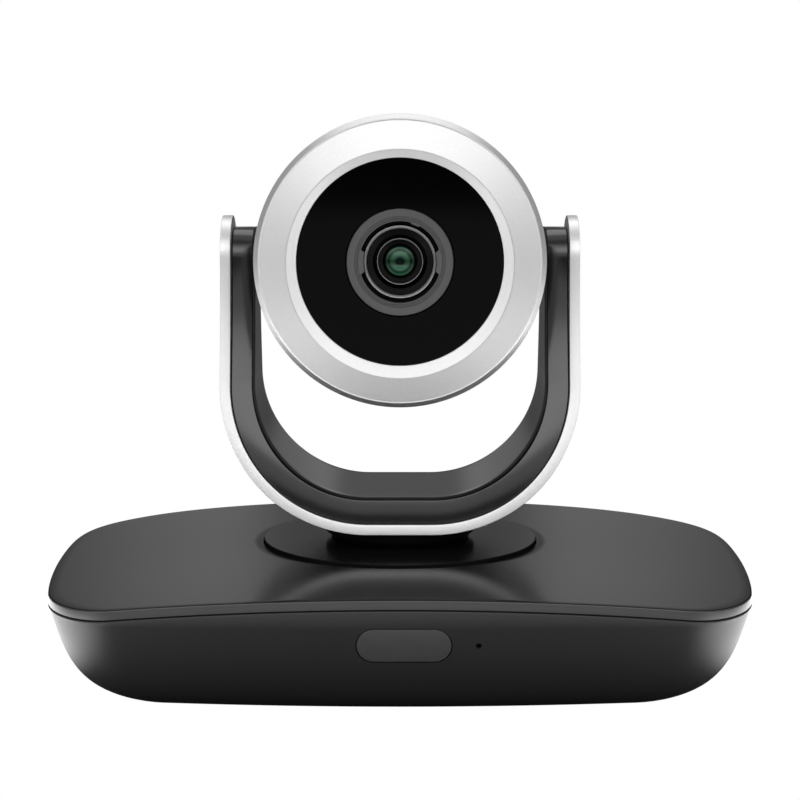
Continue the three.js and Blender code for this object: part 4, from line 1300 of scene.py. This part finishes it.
def repeated(name, pattern, places, material, size=1.0):
    """Copies of a pattern, modelled about the origin, at each place in millimetres."""
    mesh = bpy.data.meshes.new(name)
    mesh.from_pydata([Vector(p) * MM for p in places], [], [])
    piece = bpy.data.objects.new(name, mesh)
    bpy.context.scene.collection.objects.link(piece)
    modifier = piece.modifiers.new("repeat", "NODES")
    modifier.node_group = repeat_tree
    given = {"Pattern": pattern, "Size": size, "Finish": material}
    for item in repeat_tree.interface.items_tree:
        if item.item_type == "SOCKET" and item.name in given:
            modifier[item.identifier] = given[item.name]
    graph = bpy.context.evaluated_depsgraph_get()
    graph.update()
    plain = bpy.data.meshes.new_from_object(piece.evaluated_get(graph))
    piece.modifiers.clear()
    piece.data = plain
    if not plain.materials:
        plain.materials.append(material)
    bpy.data.objects.remove(pattern)
    return piece


# %% Feet
foot_box = high_corner("foot_1") - low_corner("foot_1")
foot_radius, foot_height = foot_box.x / 2, foot_box.z
foot_profile = eased(
    [
        (0, 0),
        (foot_radius - 2.2, 0),
        (foot_radius - 1.9, 0.25),
        (foot_radius - 1.6, 0),
        (foot_radius, 0, 0.3),
        (foot_radius, foot_height),
        (0, foot_height),
    ],
    closed=False,
)
foot_pattern = turned("foot_pattern", foot_profile, rubber, "Z", (0, 0, 0), 48, closed=False)
foot_names = [f"foot_{i}" for i in (1, 2, 3, 4)]
feet = repeated("rubber_feet", foot_pattern, [(middle(n).x, middle(n).y, 0) for n in foot_names], rubber)
stand_in(feet, "base", "rubber", *foot_names)

# %% Screws
screw_low, screw_high = low_corner("cover_screw_1"), high_corner("cover_screw_1")
head_radius = (screw_high.x - screw_low.x) / 2
screw_length = screw_high.z - screw_low.z
head_height, shank = 1.5, 1.3
screw_profile = eased(
    [
        (0, 0),
        (head_radius, 0, 0.5),
        (head_radius, head_height, 0.2),
        (shank, head_height),
        (shank, screw_length - 0.5),
        (shank - 0.4, screw_length),
        (0, screw_length),
    ],
    closed=False,
)
screw_pattern = turned("screw_pattern", screw_profile, steel, "Z", (0, 0, 0), 48, closed=False)
recess = [
    block("recess_a", (-1.5, -0.26, -1), (1.5, 0.26, 0.9), steel),
    block("recess_b", (-0.26, -1.5, -1), (0.26, 1.5, 0.9), steel),
]
cut_away(screw_pattern, recess)
screw_names = [f"cover_screw_{i}" for i in (1, 2, 3, 4)]
screw_places = [(middle(n).x, middle(n).y, screw_low.z) for n in screw_names]
stand_in(repeated("cover_screws", screw_pattern, screw_places, steel), "base", "steel", *screw_names)

# %% Network contacts
lan_middle, lan_high = middle("lan_socket"), high_corner("lan_socket")
contact_pattern = block("contact_pattern", (-0.22, -3.0, -0.12), (0.22, 3.0, 0.12), gold_contact, edge=0.05)
for v in contact_pattern.data.vertices:
    v.co.z += 0.15 * (v.co.y + 3.0 * MM)
contact_places = [(lan_middle.x + 1.02 * (i - 3.5), lan_high.y - 6.5, lan_middle.z + 2.5) for i in range(8)]
contacts = repeated("network_contacts", contact_pattern, contact_places, gold_contact)
stand_in(contacts, "base", "brass")

# %% [markdown]
# ## What stays as the engineering model made it
#
# Gears, boards, motors and sockets keep their solids. Each one takes the finish that its material
# slot names.

# %% Finishes for the engineering pieces
by_slot = {
    "silver_paint": silver,
    "charcoal_paint": charcoal,
    "dark_plastic": tub_plastic,
    "yoke_grey": yoke_grey,
    "black_gloss": black_gloss,
    "black_matte": matte_black,
    "lens_grey": lens_grey,
    "lens_glass": coated_painted_reflections,
    "steel": steel,
    "brass": brass,
    "rubber": rubber,
    "circuit_board": board_green,
    "white_plastic": white_plastic,
}
slots = {entry["node"]: entry["material_slot"] for entry in frame["record"]["subparts"]}
for node, piece in frame["nodes"].items():
    material = by_slot[slots[node]]
    piece.data.materials.clear()
    piece.data.materials.append(material)
print(len(frame["nodes"]), "engineering pieces have their finishes")
